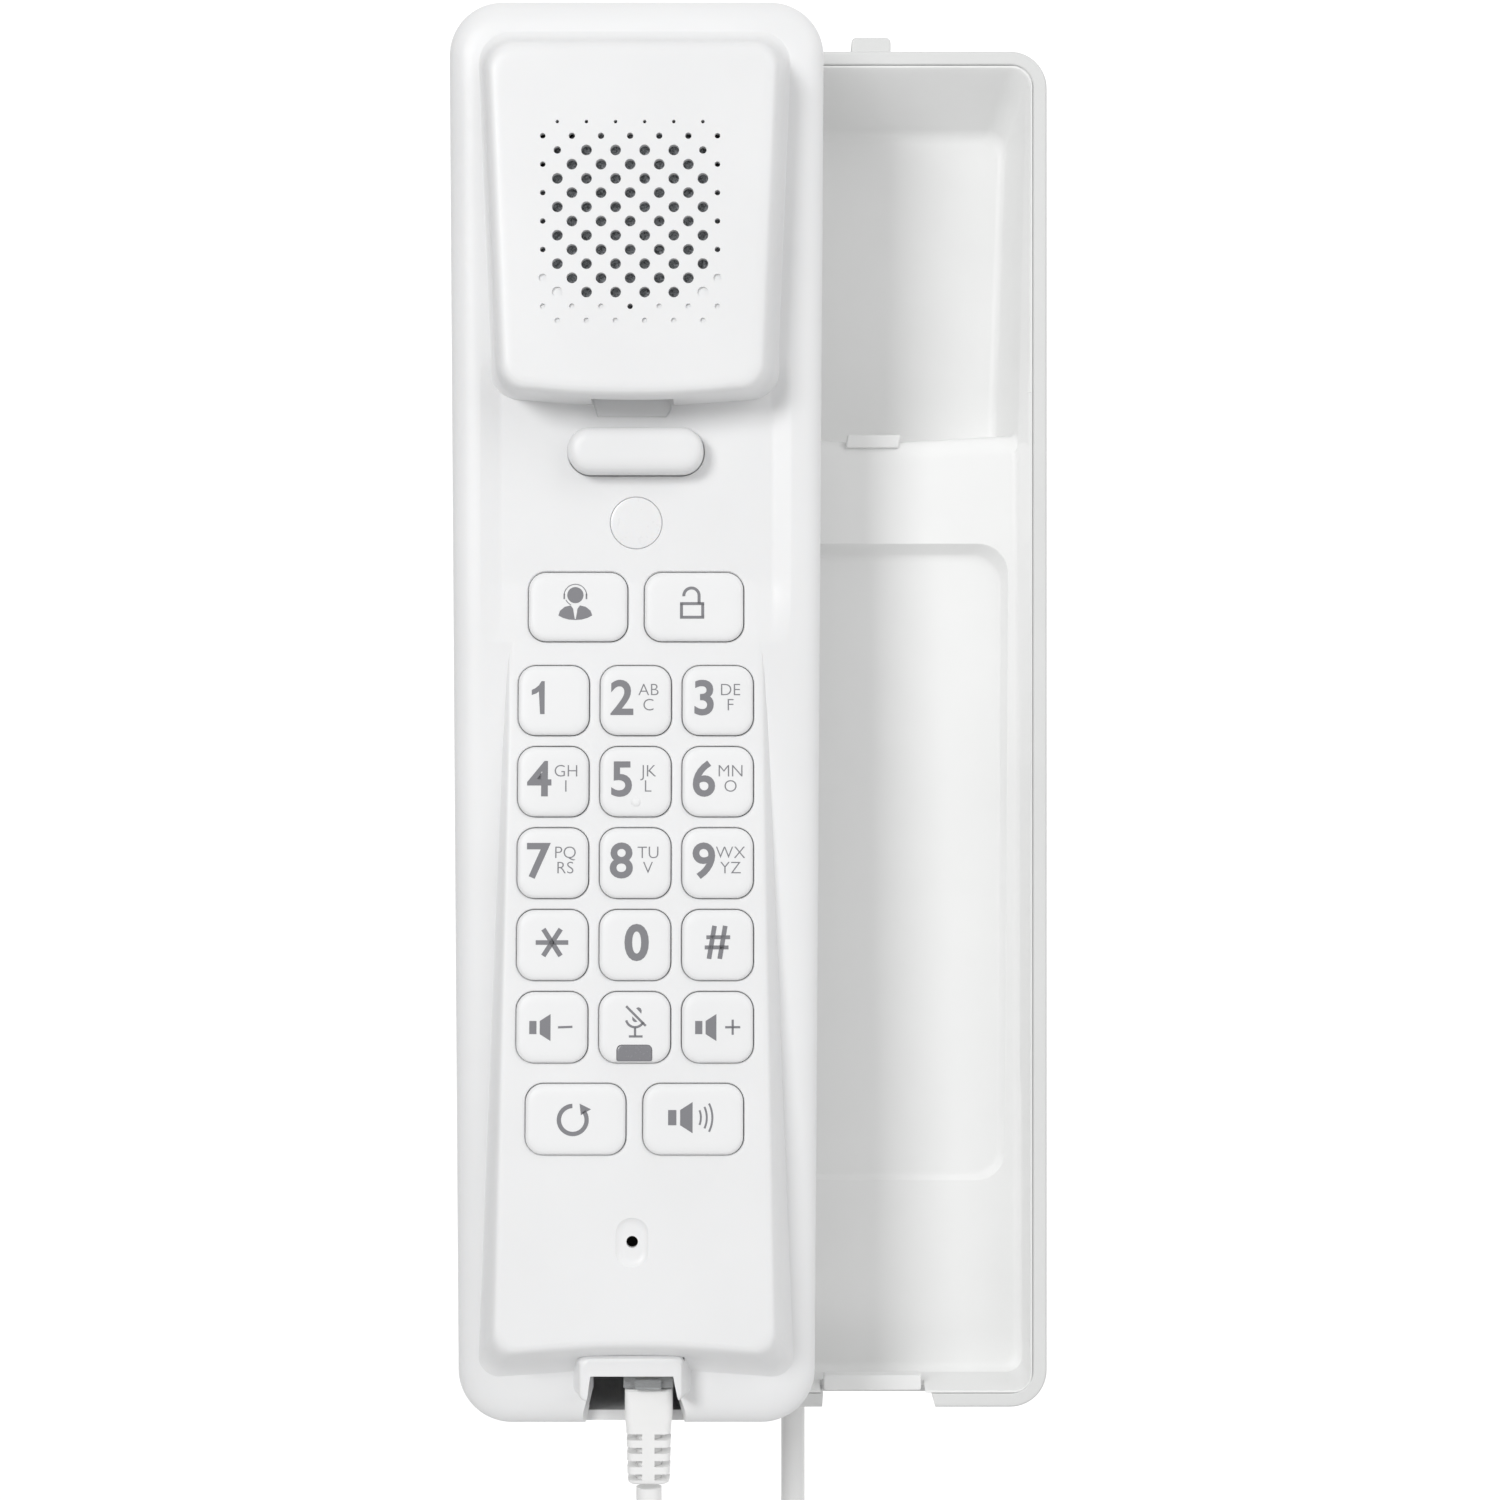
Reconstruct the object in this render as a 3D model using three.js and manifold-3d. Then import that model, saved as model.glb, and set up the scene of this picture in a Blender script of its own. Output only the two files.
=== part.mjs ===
// Slimline wall handset phone: a shallow wall base, a keypad handset and the curly cord between them.
// Millimetres. +X right, +Z up, -Y out of the wall. The origin is the middle of the base's back face.
import * as THREE from "three";
import { mergeVertices } from "three/addons/utils/BufferGeometryUtils.js";
import Module from "manifold-3d";

// ---------- driving dimensions ----------
// General
const gap = 0.3; // clearance between pieces that touch
const wall = 2; // moulded shell thickness
const cornerSteps = 4; // facets on a rounded corner

// Wall base
const baseWidth = 56.8;
const baseHeight = 221.4;
const baseDepth = 30;
const baseCorner = 6;
const rimWidth = 2.3; // flat band of the outer housing round the cradle
const backWall = 2;
const recessDepth = 14; // floor of the earpiece recess below the rim
const recessTopSlope = 8.5; // how far the recess's top wall leans in
const recessHalfTop = 22.6;
const recessHalfBottom = 20.9;
const ledgeTop = 47; // height of the ledge that carries the handset's earpiece
const ledgeBow = 1.3; // its edge rises from the middle to the sides
const ledgeDepth = 2.6; // ledge surface below the rim
const ledgeEnd = 30.4; // where the ledge ends and the panel starts
const ledgeFootDepth = 12; // surface below the rim at the lower end
const ledgeSide = 0.9; // draft of the side walls
const panelHalf = 21.6;
const panelBottom = -75;
const panelSinkTop = 2.5;
const panelSinkBottom = 0.5;
const tabWidth = 9;
const tabRise = 1.3; // hook tab above the ledge's edge
const tabHeight = 2.2;
const tabProud = 0.4;
const tabThickness = 1.2; // behind the ledge's surface
const tabRoot = 7; // its leg runs down behind the ledge
const lugWidth = 6.5; // lug on top of the housing
const lugRise = 4.2;
const lugDepth = 5;
const lugSetback = 10.7; // behind the rim
const notchWidth = 17; // notch in the bottom of the rim
const notchDepth = 12.5;
const tongueWidth = 16; // snap tongue in the notch
const tongueSetback = 3; // behind the rim, so that the hung-up handset's cord passes in front
const tongueDepth = 3;
const tongueTop = -106;
const tongueBottom = -108.5;
const keyholeHead = 8.4;
const keyholeSlot = 4.4;
const keyholeSpan = 100; // from one keyhole to the other
const boardLeft = -17; // main board
const boardRight = 18.6;
const boardUpperEnd = -30;
const boardInset = 0.6; // from the sockets' mouths to its lower edge
const lanSocketSize = [15.6, 10.4, 19]; // width, depth from front to back, length
const lanMouthSize = [11.8, 7, 12];
const cordSocketSize = [11, 9.6, 13.5];
const cordMouthDepth = 11;
const housingScrewLength = 9;
const handsetScrewLength = 10;
const screwSlotHalf = [1.6, 0.35]; // half length and half width of a slot in a screw head
const micX = -0.3;
const micBootRadius = 3.6;
const micBootHeight = 4.2;
const micRadius = 2.5;
const clothHalf = [15, 16];
const clothThickness = 0.6;
const domeRadii = [1.6, 2.4]; // top and foot of a dome under a key
const keypadBoardThickness = 1.2;
const frontBossRadius = 3;
const rearBossRadius = 3.8;
const weightHalf = 15; // steel balance weight
const weightBottom = -40;
const weightTop = 18;
const weightThickness = 4;
const socketDrop = 94; // plug sockets' mouths below the centre
const alcoveDepth = 13;
const cordAlcove = 13.5;
const lanAlcove = 18;
const cordSocketX = -12.8;
const lanSocketX = 10;
const boardThickness = 1.6;

// Handset
const handsetLength = 221.6;
const handsetHalfTop = 29.3;
const handsetHalfBottom = 27.8;
const handsetCorner = 8.3;
const rimHeight = 3; // crest of the front shell above the parting line
const valleyHeight = 2.2; // floor between the earpiece and the keys
const earpieceHeight = 13;
const earpieceTop = 101.1;
const earpieceBottom = 49.4;
const earpieceSag = 1.8; // the lower edge bows down in the middle
const earpieceLowerDraft = 0.5;
const pocketWidth = 12; // pocket for the base's hook tab under the earpiece's lower edge
const pocketBottom = 45.7;
const pocketTop = 48.6;
const pocketLip = 0.8; // left between the pocket and the earpiece's face
const pocketSink = 0.8; // into the valley floor
const earpieceHalfTop = 21.9;
const earpieceHalfBottom = 19.6;
const keySlope = 0.0857; // rise of the key face per millimetre towards the chin
const keySlopeStart = 20;
const chinEnd = -98;
const faceHalfTop = 19.2;
const faceHalfBottom = 21.3;
const rearDepth = 18;
const grilleX = -0.5;
const grilleZ = 74.4;
const grillePitch = 4.42;
const grilleHole = 1.65;
const speakerDiameter = 32;
const plungerWidth = 21;
const plungerHeight = 7.2;
const plungerTop = 6.6; // height above the parting line
const plungerZ = 40.4;
const lensDiameter = 8;
const lensZ = 29.4;
const micZ = -81;
const micHole = 1.8;
const keyRise = 1; // keys stand above the face
const keyTravel = 0.8;
const keySkirt = 0.6; // retaining flange round the foot of each key
const keySize = [10.9, 10.75];
const wideKeySize = [15.3, 10.7];
const keyCorner = 2.7;
const keyPitchX = 12.7;
const keyPitchZ = 12.55;
const firstDigitRow = 1.75;
const wideKeyOffset = 9;
const upperWideRow = 16.3;
const lowerWideRow = -62.4;

// Where the handset is held, face to the room, in front of the base's left half
const handsetX = -37.8;
const handsetY = -(baseDepth + rearDepth + 2); // its back is clear of the base's rim
const handsetZ = 2.5;

// Cord
const plugWidth = 7.65;
const plugHeight = 6.2;
const plugLength = 12.3;
const jackX = 2; // the handset's socket is right of its centre line
const jackHeight = 2.6; // the plug's centre above the parting line
const jackMouth = -102;
const jackLeft = -7;
const jackRight = jackX + plugWidth / 2 + 1.775;
const jackLength = 14;
const bootLength = 15.4;
const bootTip = 5;
const cordDiameter = 4;
const coilDiameter = 11;

// ---------- geometry helpers ----------
const wasm = await Module();
wasm.setup();

function signedVolume(position, index) {
  const [a, b, c] = [new THREE.Vector3(), new THREE.Vector3(), new THREE.Vector3()];
  let sum = 0;
  for (let i = 0; i < index.length; i += 3) {
    a.fromArray(position, 3 * index[i]);
    b.fromArray(position, 3 * index[i + 1]);
    c.fromArray(position, 3 * index[i + 2]);
    sum += a.dot(b.cross(c)) / 6;
  }
  return sum;
}

// Turns a list of points and triangles into a geometry whose faces point outwards.
function geometryFrom(points, triangles) {
  const position = points.flat();
  const index = triangles.flat();
  if (signedVolume(position, index) < 0) {
    for (let i = 0; i < index.length; i += 3) {
      [index[i + 1], index[i + 2]] = [index[i + 2], index[i + 1]];
    }
  }
  const geometry = new THREE.BufferGeometry();
  geometry.setAttribute("position", new THREE.Float32BufferAttribute(position, 3));
  geometry.setIndex(index);
  return geometry;
}

// An outline in the X-Z plane: a polygon whose corners are rounded by arcs.
function rounded(corners, radius, steps = cornerSteps) {
  const points = [];
  corners.forEach((corner, i) => {
    const here = new THREE.Vector2(...corner);
    const before = new THREE.Vector2(...corners.at(i - 1)).sub(here).normalize();
    const after = new THREE.Vector2(...corners[(i + 1) % corners.length]).sub(here).normalize();
    const half = Math.acos(THREE.MathUtils.clamp(before.dot(after), -1, 1)) / 2;
    const size = Array.isArray(radius) ? radius[i] : radius;
    const middle = before.clone().add(after).normalize().multiplyScalar(size / Math.sin(half)).add(here);
    const start = before.clone().multiplyScalar(size / Math.tan(half)).add(here).sub(middle);
    const end = after.clone().multiplyScalar(size / Math.tan(half)).add(here).sub(middle);
    const turn = Math.atan2(start.x * end.y - start.y * end.x, start.dot(end));
    for (let k = 0; k <= steps; k++) {
      const point = start.clone().rotateAround(new THREE.Vector2(), (turn * k) / steps).add(middle);
      points.push([point.x, point.y]);
    }
  });
  return points;
}

function rectangle(x0, x1, z0, z1, radius, steps = cornerSteps) {
  return rounded([[x0, z0], [x1, z0], [x1, z1], [x0, z1]], radius, steps);
}

// Joins outlines at successive levels into one closed body. A level is a Y value or a function of X and Z.
function loft(rings) {
  const count = rings[0][0].length;
  const points = rings.flatMap(([outline, level]) =>
    outline.map(([x, z]) => [x, typeof level === "function" ? level(x, z) : level, z]));
  const triangles = [];
  for (let ring = 0; ring < rings.length - 1; ring++) {
    for (let i = 0; i < count; i++) {
      const a = ring * count + i;
      const b = ring * count + ((i + 1) % count);
      triangles.push([a, b, b + count], [a, b + count, a + count]);
    }
  }
  const cap = (outline, first, flip) => {
    const faces = THREE.ShapeUtils.triangulateShape(outline.map((p) => new THREE.Vector2(...p)), []);
    faces.forEach(([a, b, c]) => triangles.push(flip ? [first + a, first + c, first + b] : [first + a,
      first + b, first + c]));
  };
  const area = THREE.ShapeUtils.area(rings[0][0].map((p) => new THREE.Vector2(...p)));
  cap(rings[0][0], 0, area > 0);
  cap(rings.at(-1)[0], (rings.length - 1) * count, area < 0);
  return geometryFrom(points, triangles);
}

function block(x0, x1, y0, y1, z0, z1) {
  return new THREE.BoxGeometry(x1 - x0, y1 - y0, z1 - z0).translate((x0 + x1) / 2, (y0 + y1) / 2,
    (z0 + z1) / 2);
}

// A round body along Y from a list of [radius, y] steps.
function turned(x, z, steps, sides = 16) {
  const profile = [[0, steps[0][1]], ...steps,
    [0, steps.at(-1)[1]]].map(([r, y]) => new THREE.Vector2(r, y));
  const geometry = new THREE.LatheGeometry(profile, sides);
  return geometry.translate(x, 0, z);
}

// A polygon in the Y-Z plane pulled along X.
function prism(x0, x1, polygon) {
  const shape = new THREE.Shape(polygon.map(([y, z]) => new THREE.Vector2(y, z)));
  const geometry = new THREE.ExtrudeGeometry(shape, { depth: x1 - x0, bevelEnabled: false, steps: 1 });
  const turn = new THREE.Matrix4().makeBasis(
    new THREE.Vector3(0, 1, 0), new THREE.Vector3(0, 0, 1), new THREE.Vector3(1, 0, 0));
  return geometry.applyMatrix4(turn).translate(x0, 0, 0);
}

function tube(points, diameter, steps, sides) {
  const curve = new THREE.CatmullRomCurve3(points.map((p) => new THREE.Vector3(...p)), false,
    "centripetal");
  const circle = new THREE.Shape(Array.from({ length: sides }, (_, i) => {
    const angle = (2 * Math.PI * i) / sides;
    return new THREE.Vector2((diameter / 2) * Math.cos(angle), (diameter / 2) * Math.sin(angle));
  }));
  return new THREE.ExtrudeGeometry(circle, { extrudePath: curve, steps, bevelEnabled: false });
}

function solid(geometry) {
  const bare = geometry.clone();
  bare.deleteAttribute("normal");
  bare.deleteAttribute("uv");
  const merged = mergeVertices(bare, 1e-4);
  return new wasm.Manifold(new wasm.Mesh({
    numProp: 3,
    vertProperties: new Float32Array(merged.attributes.position.array),
    triVerts: new Uint32Array(merged.index.array),
  }));
}

function geometryOf(body) {
  const mesh = body.getMesh();
  const geometry = new THREE.BufferGeometry();
  geometry.setAttribute("position", new THREE.BufferAttribute(new Float32Array(mesh.vertProperties), 3));
  geometry.setIndex(new THREE.BufferAttribute(new Uint32Array(mesh.triVerts), 1));
  return geometry;
}

function join(...pieces) {
  return geometryOf(pieces.map(solid).reduce((a, b) => a.add(b)));
}

function cut(piece, ...tools) {
  return geometryOf(tools.map(solid).reduce((a, b) => a.subtract(b), solid(piece)));
}

// ---------- materials ----------
const material = (color, roughness, metalness = 0) => new THREE.MeshStandardMaterial({ color, roughness,
  metalness });
const white = material(0xf2f2f2, 0.42);
const baseWhite = material(0xe8e9e8, 0.5);
const keyWhite = material(0xf5f5f5, 0.48);
const rubber = material(0x4a4a4c, 0.9);
const silicone = material(0xd8d8d6, 0.8);
const felt = material(0x9a9da0, 0.95);
const board = material(0x2f6b46, 0.6);
const steel = material(0xb9bcc0, 0.35, 0.9);
const darkPlastic = material(0x5b5f63, 0.55);
const clearPlastic = material(0xe2e6e8, 0.15);
const cordWhite = material(0xf0f0ee, 0.5);
const lampGrey = material(0x85878c, 0.4);

const group = new THREE.Group();
const base = new THREE.Group();
const handset = new THREE.Group();
handset.position.set(handsetX, handsetY, handsetZ);
group.add(base, handset);

function add(parent, name, geometry, look) {
  const mesh = new THREE.Mesh(geometry, look);
  mesh.name = name;
  parent.add(mesh);
  return mesh;
}

// ---------- wall base ----------
const rimY = -baseDepth;
const halfBase = baseWidth / 2;
const halfHeight = baseHeight / 2;
const innerHalf = halfBase - rimWidth;
const innerHeight = halfHeight - rimWidth;
const cradleHalf = innerHalf - gap;
const cradleHeight = innerHeight - gap;
const cradleLip = 0.6; // edge of the cradle beside the rim
const openHalf = cradleHalf - cradleLip;
const openHeight = cradleHeight - cradleLip;
const floorY = rimY + recessDepth;
const cradleBack = floorY + wall;
const ledgeY = rimY + ledgeDepth;
const footY = rimY + ledgeFootDepth;
const screwX = 20;
const screwUpperZ = 88;
const screwLowerZ = -72;
const screwHead = 5.4;
const screwShaft = 2.6;
const bossDiameter = 6.4;
const screwSpots = [[-screwX, screwUpperZ], [screwX, screwUpperZ], [-screwX, screwLowerZ],
  [screwX, screwLowerZ]];
const headSink = 0.6; // screw heads below the back face
const headHeight = 1.2;
const headSeat = -headSink - headHeight;
const padHeight = 0.8; // thicker wall round each screw
const alcoveTop = -socketDrop;
const alcoveFront = -backWall - alcoveDepth;

function keyhole(z) {
  const head = turned(0, z, [[keyholeHead / 2, -backWall - 1], [keyholeHead / 2, 1]], 20);
  const slot = block(-keyholeSlot / 2, keyholeSlot / 2, -backWall - 1, 1, z, z + keyholeHead);
  return join(head, slot);
}

function rearHousing() {
  const shell = loft([
    [rectangle(-halfBase, halfBase, -halfHeight, halfHeight, baseCorner), 0],
    [rectangle(-halfBase, halfBase, -halfHeight, halfHeight, baseCorner), rimY],
  ]);
  const inside = loft([
    [rectangle(-innerHalf, innerHalf, -innerHeight, innerHeight, baseCorner - rimWidth), -backWall],
    [rectangle(-innerHalf, innerHalf, -innerHeight, innerHeight, baseCorner - rimWidth), rimY - 1],
  ]);
  const lugBack = rimY + lugSetback + lugDepth / 2;
  const lug = loft([
    [rectangle(-lugWidth / 2, lugWidth / 2, halfHeight - 1, halfHeight + lugRise, 0.9, 2), lugBack],
    [rectangle(-lugWidth / 2, lugWidth / 2, halfHeight - 1, halfHeight + lugRise, 0.9, 2),
      lugBack - lugDepth],
  ]);
  const notch = block(-notchWidth / 2, notchWidth / 2, rimY - 1, rimY + notchDepth, -halfHeight - 1,
    -innerHeight + 1);
  const cordWay = block(cordSocketX - cordAlcove / 2, cordSocketX + cordAlcove / 2, alcoveFront, -backWall,
    -halfHeight - 1, -innerHeight + 1);
  const lanWay = block(lanSocketX - lanAlcove / 2, lanSocketX + lanAlcove / 2, alcoveFront, 1,
    -halfHeight - 1, alcoveTop - gap);
  const heads = screwSpots.map(([x, z]) => turned(x, z, [
    [screwShaft / 2 + gap, -backWall - padHeight - 1], [screwShaft / 2 + gap, headSeat - gap],
    [screwHead / 2 + gap, headSeat - gap], [screwHead / 2 + gap, 1]]));
  const pads = screwSpots.map(([x, z]) => turned(x, z, [
    [screwHead / 2 + 1.4, -backWall - padHeight], [screwHead / 2 + 1.4, -backWall + 0.5]]));
  const hollow = cut(join(cut(shell, inside), lug, ...pads), notch, cordWay, lanWay, ...heads);
  return cut(hollow, keyhole(keyholeSpan / 2), keyhole(-keyholeSpan / 2));
}
add(base, "rear_housing", rearHousing(), baseWhite);

// Room in front of the cradle's surface: the earpiece recess, and the long space over the ledge and the panel.
function earpieceRecess() {
  const low = ledgeTop + ledgeBow;
  const outline = (halfTop, halfBottom, top, radius) => rounded(
    [[-halfBottom, low], [0, ledgeTop], [halfBottom, low], [halfTop, top], [-halfTop, top]],
    [0.6, 60, 0.6, radius, radius]);
  return loft([
    [outline(openHalf + 0.1, openHalf + 0.1, openHeight + 0.3, 3.4), rimY - 1],
    [outline(openHalf, openHalf, openHeight, 3.4), rimY],
    [outline(recessHalfTop, recessHalfBottom, openHeight - recessTopSlope, 3.2), floorY],
  ]);
}

function ledgeSpace() {
  const outline = (inset) => rectangle(-openHalf + inset, openHalf - inset, -openHeight + inset,
    ledgeTop + 6, 3);
  const level = (x, z) => (z > ledgeEnd ? ledgeY : THREE.MathUtils.lerp(ledgeY, footY,
    (ledgeEnd - z) / (ledgeEnd + openHeight)));
  const ledge = prism(-openHalf - 1, openHalf + 1, [
    [rimY - 1, ledgeTop + 6], [ledgeY, ledgeTop + 6], [ledgeY, ledgeEnd],
      [level(0, -openHeight - 2), -openHeight - 2],
    [rimY - 1, -openHeight - 2]]);
  const draft = loft([[outline(0), rimY - 2], [outline(0), rimY], [outline(ledgeSide), footY + 1]]);
  return geometryOf(solid(ledge).intersect(solid(draft)));
}

function panelSink() {
  const surface = (z) => THREE.MathUtils.lerp(ledgeY, footY, (ledgeEnd - z) / (ledgeEnd + openHeight));
  const sink = (z) => THREE.MathUtils.lerp(panelSinkTop, panelSinkBottom,
    (ledgeEnd - z) / (ledgeEnd - panelBottom));
  const outline = (grow) => rectangle(-panelHalf - grow, panelHalf + grow, panelBottom - grow,
    ledgeEnd + grow, 4.5 + grow);
  return loft([
    [outline(0.6), (x, z) => surface(z) - 1],
    [outline(0.5), (x, z) => surface(z)],
    [outline(-0.2), (x, z) => surface(z) + sink(z)],
  ]);
}

// Space behind the ledge, open to the back, that leaves the moulding a wall thick.
function behindLedge() {
  const top = ledgeTop - wall - 0.6;
  const foot = -openHeight + wall;
  const skin = wall + panelSinkTop;
  const surface = (z) => THREE.MathUtils.lerp(ledgeY, footY,
    Math.max(0, (ledgeEnd - z) / (ledgeEnd + openHeight)));
  return prism(-openHalf + wall + ledgeSide, openHalf - wall - ledgeSide, [
    [cradleBack + 1, top], [ledgeY + wall, top], [ledgeY + wall, ledgeEnd + 3],
      [ledgeY + skin, ledgeEnd - 2],
    [surface(panelBottom) + wall + panelSinkBottom, panelBottom], [surface(foot) + wall, foot],
      [cradleBack + 1, foot]]);
}

function tabSlot() {
  const top = ledgeTop + tabRise;
  const nose = block(-tabWidth / 2 - gap, tabWidth / 2 + gap, ledgeY - 1, ledgeY + wall + 2,
    top - tabHeight - gap, top + 2);
  const root = block(-tabWidth / 2 + 0.5, tabWidth / 2 - 0.5, ledgeY + wall, ledgeY + wall + 2,
    ledgeTop - wall - 2, ledgeTop);
  return join(nose, root);
}

function cradle() {
  const body = loft([
    [rectangle(-cradleHalf, cradleHalf, -cradleHeight, cradleHeight, baseCorner - rimWidth - gap),
      rimY + gap],
    [rectangle(-cradleHalf, cradleHalf, -cradleHeight, cradleHeight, baseCorner - rimWidth - gap),
      cradleBack],
  ]);
  const bosses = screwSpots.map(([x, z]) => turned(x, z, [
    [bossDiameter / 2, cradleBack - 1], [bossDiameter / 2, -backWall - padHeight - gap]]));
  const bores = screwSpots.map(([x, z]) => turned(x, z,
    [[screwShaft / 2 + gap, -12.5], [screwShaft / 2 + gap, 0]], 12));
  const lowBosses = screwSpots.filter(([, z]) => z < 0).map(([x, z]) => turned(x, z, [
    [bossDiameter / 2, footY - 1.5], [bossDiameter / 2, cradleBack]]));
  const hollowed = cut(body, earpieceRecess(), ledgeSpace(), panelSink(), behindLedge(), tabSlot());
  const notch = block(-tongueWidth / 2 - 0.4, tongueWidth / 2 + 0.4, rimY - 1,
    rimY + tongueSetback + tongueDepth + gap,
    -cradleHeight - 1, -openHeight + 1.4);
  return cut(join(cut(hollowed, notch), ...bosses, ...lowBosses), ...bores);
}
add(base, "cradle", cradle(), baseWhite);

function hookTab() {
  const top = ledgeTop + tabRise;
  const back = ledgeY + wall + gap;
  const nose = loft([
    [rectangle(-tabWidth / 2 + 0.3, tabWidth / 2 - 0.3, top - tabHeight, top - 0.2, 0.4, 2),
      ledgeY - tabProud],
    [rectangle(-tabWidth / 2, tabWidth / 2, top - tabHeight, top, 0.4, 2), ledgeY],
    [rectangle(-tabWidth / 2, tabWidth / 2, top - tabHeight, top, 0.4, 2), ledgeY + tabThickness],
  ]);
  const rootHalf = tabWidth / 2 - 1;
  const neck = block(-rootHalf, rootHalf, ledgeY + tabThickness / 2, back + 1.4, top - tabHeight,
    top - 0.5);
  const leg = block(-rootHalf, rootHalf, back, back + 1.4, top - tabHeight - tabRoot, top - 0.5);
  return join(nose, neck, leg);
}
add(base, "handset_hook_tab", hookTab(), baseWhite);

// The snap tongue that holds the bottom of the cradle, seen through the notch in the rim.
function snapTongue() {
  const outline = rectangle(-tongueWidth / 2, tongueWidth / 2, tongueBottom, tongueTop, 0.3, 1);
  return loft([[outline, rimY + tongueSetback], [outline, rimY + tongueSetback + tongueDepth]]);
}
add(base, "bottom_snap_tongue", snapTongue(), baseWhite);

// A screw from the back face, its head below the surface.
function screw(x, z, length) {
  const head = turned(x, z, [
    [screwShaft / 2, headSeat - length], [screwShaft / 2, headSeat],
    [screwHead / 2, headSeat], [screwHead / 2, -headSink - 0.5], [screwHead / 2 - 0.6, -headSink]], 10);
  const [long, narrow] = screwSlotHalf;
  const slot = block(x - long, x + long, -headSink - 0.7, -headSink + 1, z - narrow, z + narrow);
  const cross = block(x - narrow, x + narrow, -headSink - 0.7, -headSink + 1, z - long, z + long);
  return cut(head, slot, cross);
}
screwSpots.forEach(([x, z], i) => add(base, `housing_screw_${i + 1}`, screw(x, z, housingScrewLength),
  steel));

const boardBack = -backWall - 1.2;
const boardFront = boardBack - boardThickness;
function mainBoard() {
  const outline = rectangle(boardLeft, boardRight, alcoveTop + boardInset, boardUpperEnd, 1.2, 2);
  const slab = loft([[outline, boardBack], [outline, boardFront]]);
  const relief = screwSpots.filter(([, z]) => z < 0).map(([x, z]) => turned(x, z,
    [[bossDiameter / 2 + 0.6, boardFront - 1], [bossDiameter / 2 + 0.6, boardBack + 1]]));
  const keyholeRelief = block(-keyholeHead / 2 - 1, keyholeHead / 2 + 1, boardFront - 1, boardBack + 1,
    -keyholeSpan / 2 - 6, -keyholeSpan / 2 + 11);
  return cut(slab, ...relief, keyholeRelief);
}
add(base, "main_board", mainBoard(), board);

function socket(x, size, mouthSize) {
  const [width, height, length] = size;
  const [mouthWidth, mouthHeight, mouthDepth] = mouthSize;
  const body = block(x - width / 2, x + width / 2, socketY - height, socketY, alcoveTop,
    alcoveTop + length);
  const y = socketY - height / 2;
  const mouth = block(x - mouthWidth / 2, x + mouthWidth / 2, y - mouthHeight / 2, y + mouthHeight / 2,
    alcoveTop - 1, alcoveTop + mouthDepth);
  return cut(body, mouth);
}
const socketY = boardFront - gap;
const cordMouthSize = [plugWidth + 2 * gap, plugHeight + 2 * gap, cordMouthDepth];
add(base, "lan_socket", socket(lanSocketX, lanSocketSize, lanMouthSize), steel);
add(base, "cord_socket", socket(cordSocketX, cordSocketSize, cordMouthSize), darkPlastic);

// ---------- handset: local frame, middle of the parting line, Y = -height above it ----------
const half = handsetLength / 2;
const faceHeight = (z) => valleyHeight + keySlope * Math.max(0, keySlopeStart - z);

function handsetOutline(inset, steps = cornerSteps) {
  const top = handsetHalfTop - inset;
  const bottom = handsetHalfBottom - inset;
  return rounded([[-bottom, -half + inset], [bottom, -half + inset], [top, half - inset],
    [-top, half - inset]],
    Math.max(handsetCorner - inset * 0.6, 1.5), steps);
}

function earpieceOutline(grow) {
  const top = earpieceTop + grow;
  const bottom = earpieceBottom - Math.min(grow, earpieceLowerDraft);
  const widthTop = earpieceHalfTop + grow;
  const widthBottom = earpieceHalfBottom + grow;
  const radius = Math.max(3.8 + grow * 0.5, 1.2);
  return rounded([[-widthBottom, bottom], [0, bottom - earpieceSag], [widthBottom, bottom],
    [widthTop, top], [-widthTop, top]],
    [radius, 60, radius, radius, radius]).map(([x, z]) => [x + grilleX * 0.4, z]);
}

function earpieceBlock(inset, floor, foot) {
  return loft([
    [earpieceOutline(foot - inset), floor],
    [earpieceOutline(0.9 - inset), -earpieceHeight + 1.6 + inset],
    [earpieceOutline(-0.6 - inset), -earpieceHeight + inset],
  ]);
}

// The raised key face, rising towards the chin.
function faceBlock(inset, floor, drop) {
  const top = keySlopeStart - (rimHeight - valleyHeight) / keySlope - 1;
  const outline = (growSide, growEnd) => rounded([
    [-faceHalfBottom - growSide + inset, chinEnd - growEnd + inset],
      [faceHalfBottom + growSide - inset, chinEnd - growEnd + inset],
    [faceHalfTop + growSide * 0.4 - inset, top + 1.2 - inset],
      [-faceHalfTop - growSide * 0.4 + inset, top + 1.2 - inset]],
    [3, 3, 0.8, 0.8]);
  return loft([
    [outline(3.4, 5.4), floor],
    [outline(0.8, 1), (x, z) => -faceHeight(z) + 1.1 + drop],
    [outline(-0.4, -0.4), (x, z) => -faceHeight(z) + drop],
  ]);
}

function valleyCut() {
  const end = keySlopeStart - (rimHeight - valleyHeight) / keySlope;
  const foot = earpieceBottom - 6;
  return prism(-faceHalfTop - 1.4, faceHalfTop + 1.4, [
    [-valleyHeight, foot], [-valleyHeight, keySlopeStart], [-rimHeight, end], [-rimHeight - 1, end],
      [-rimHeight - 1, foot]]);
}

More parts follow.
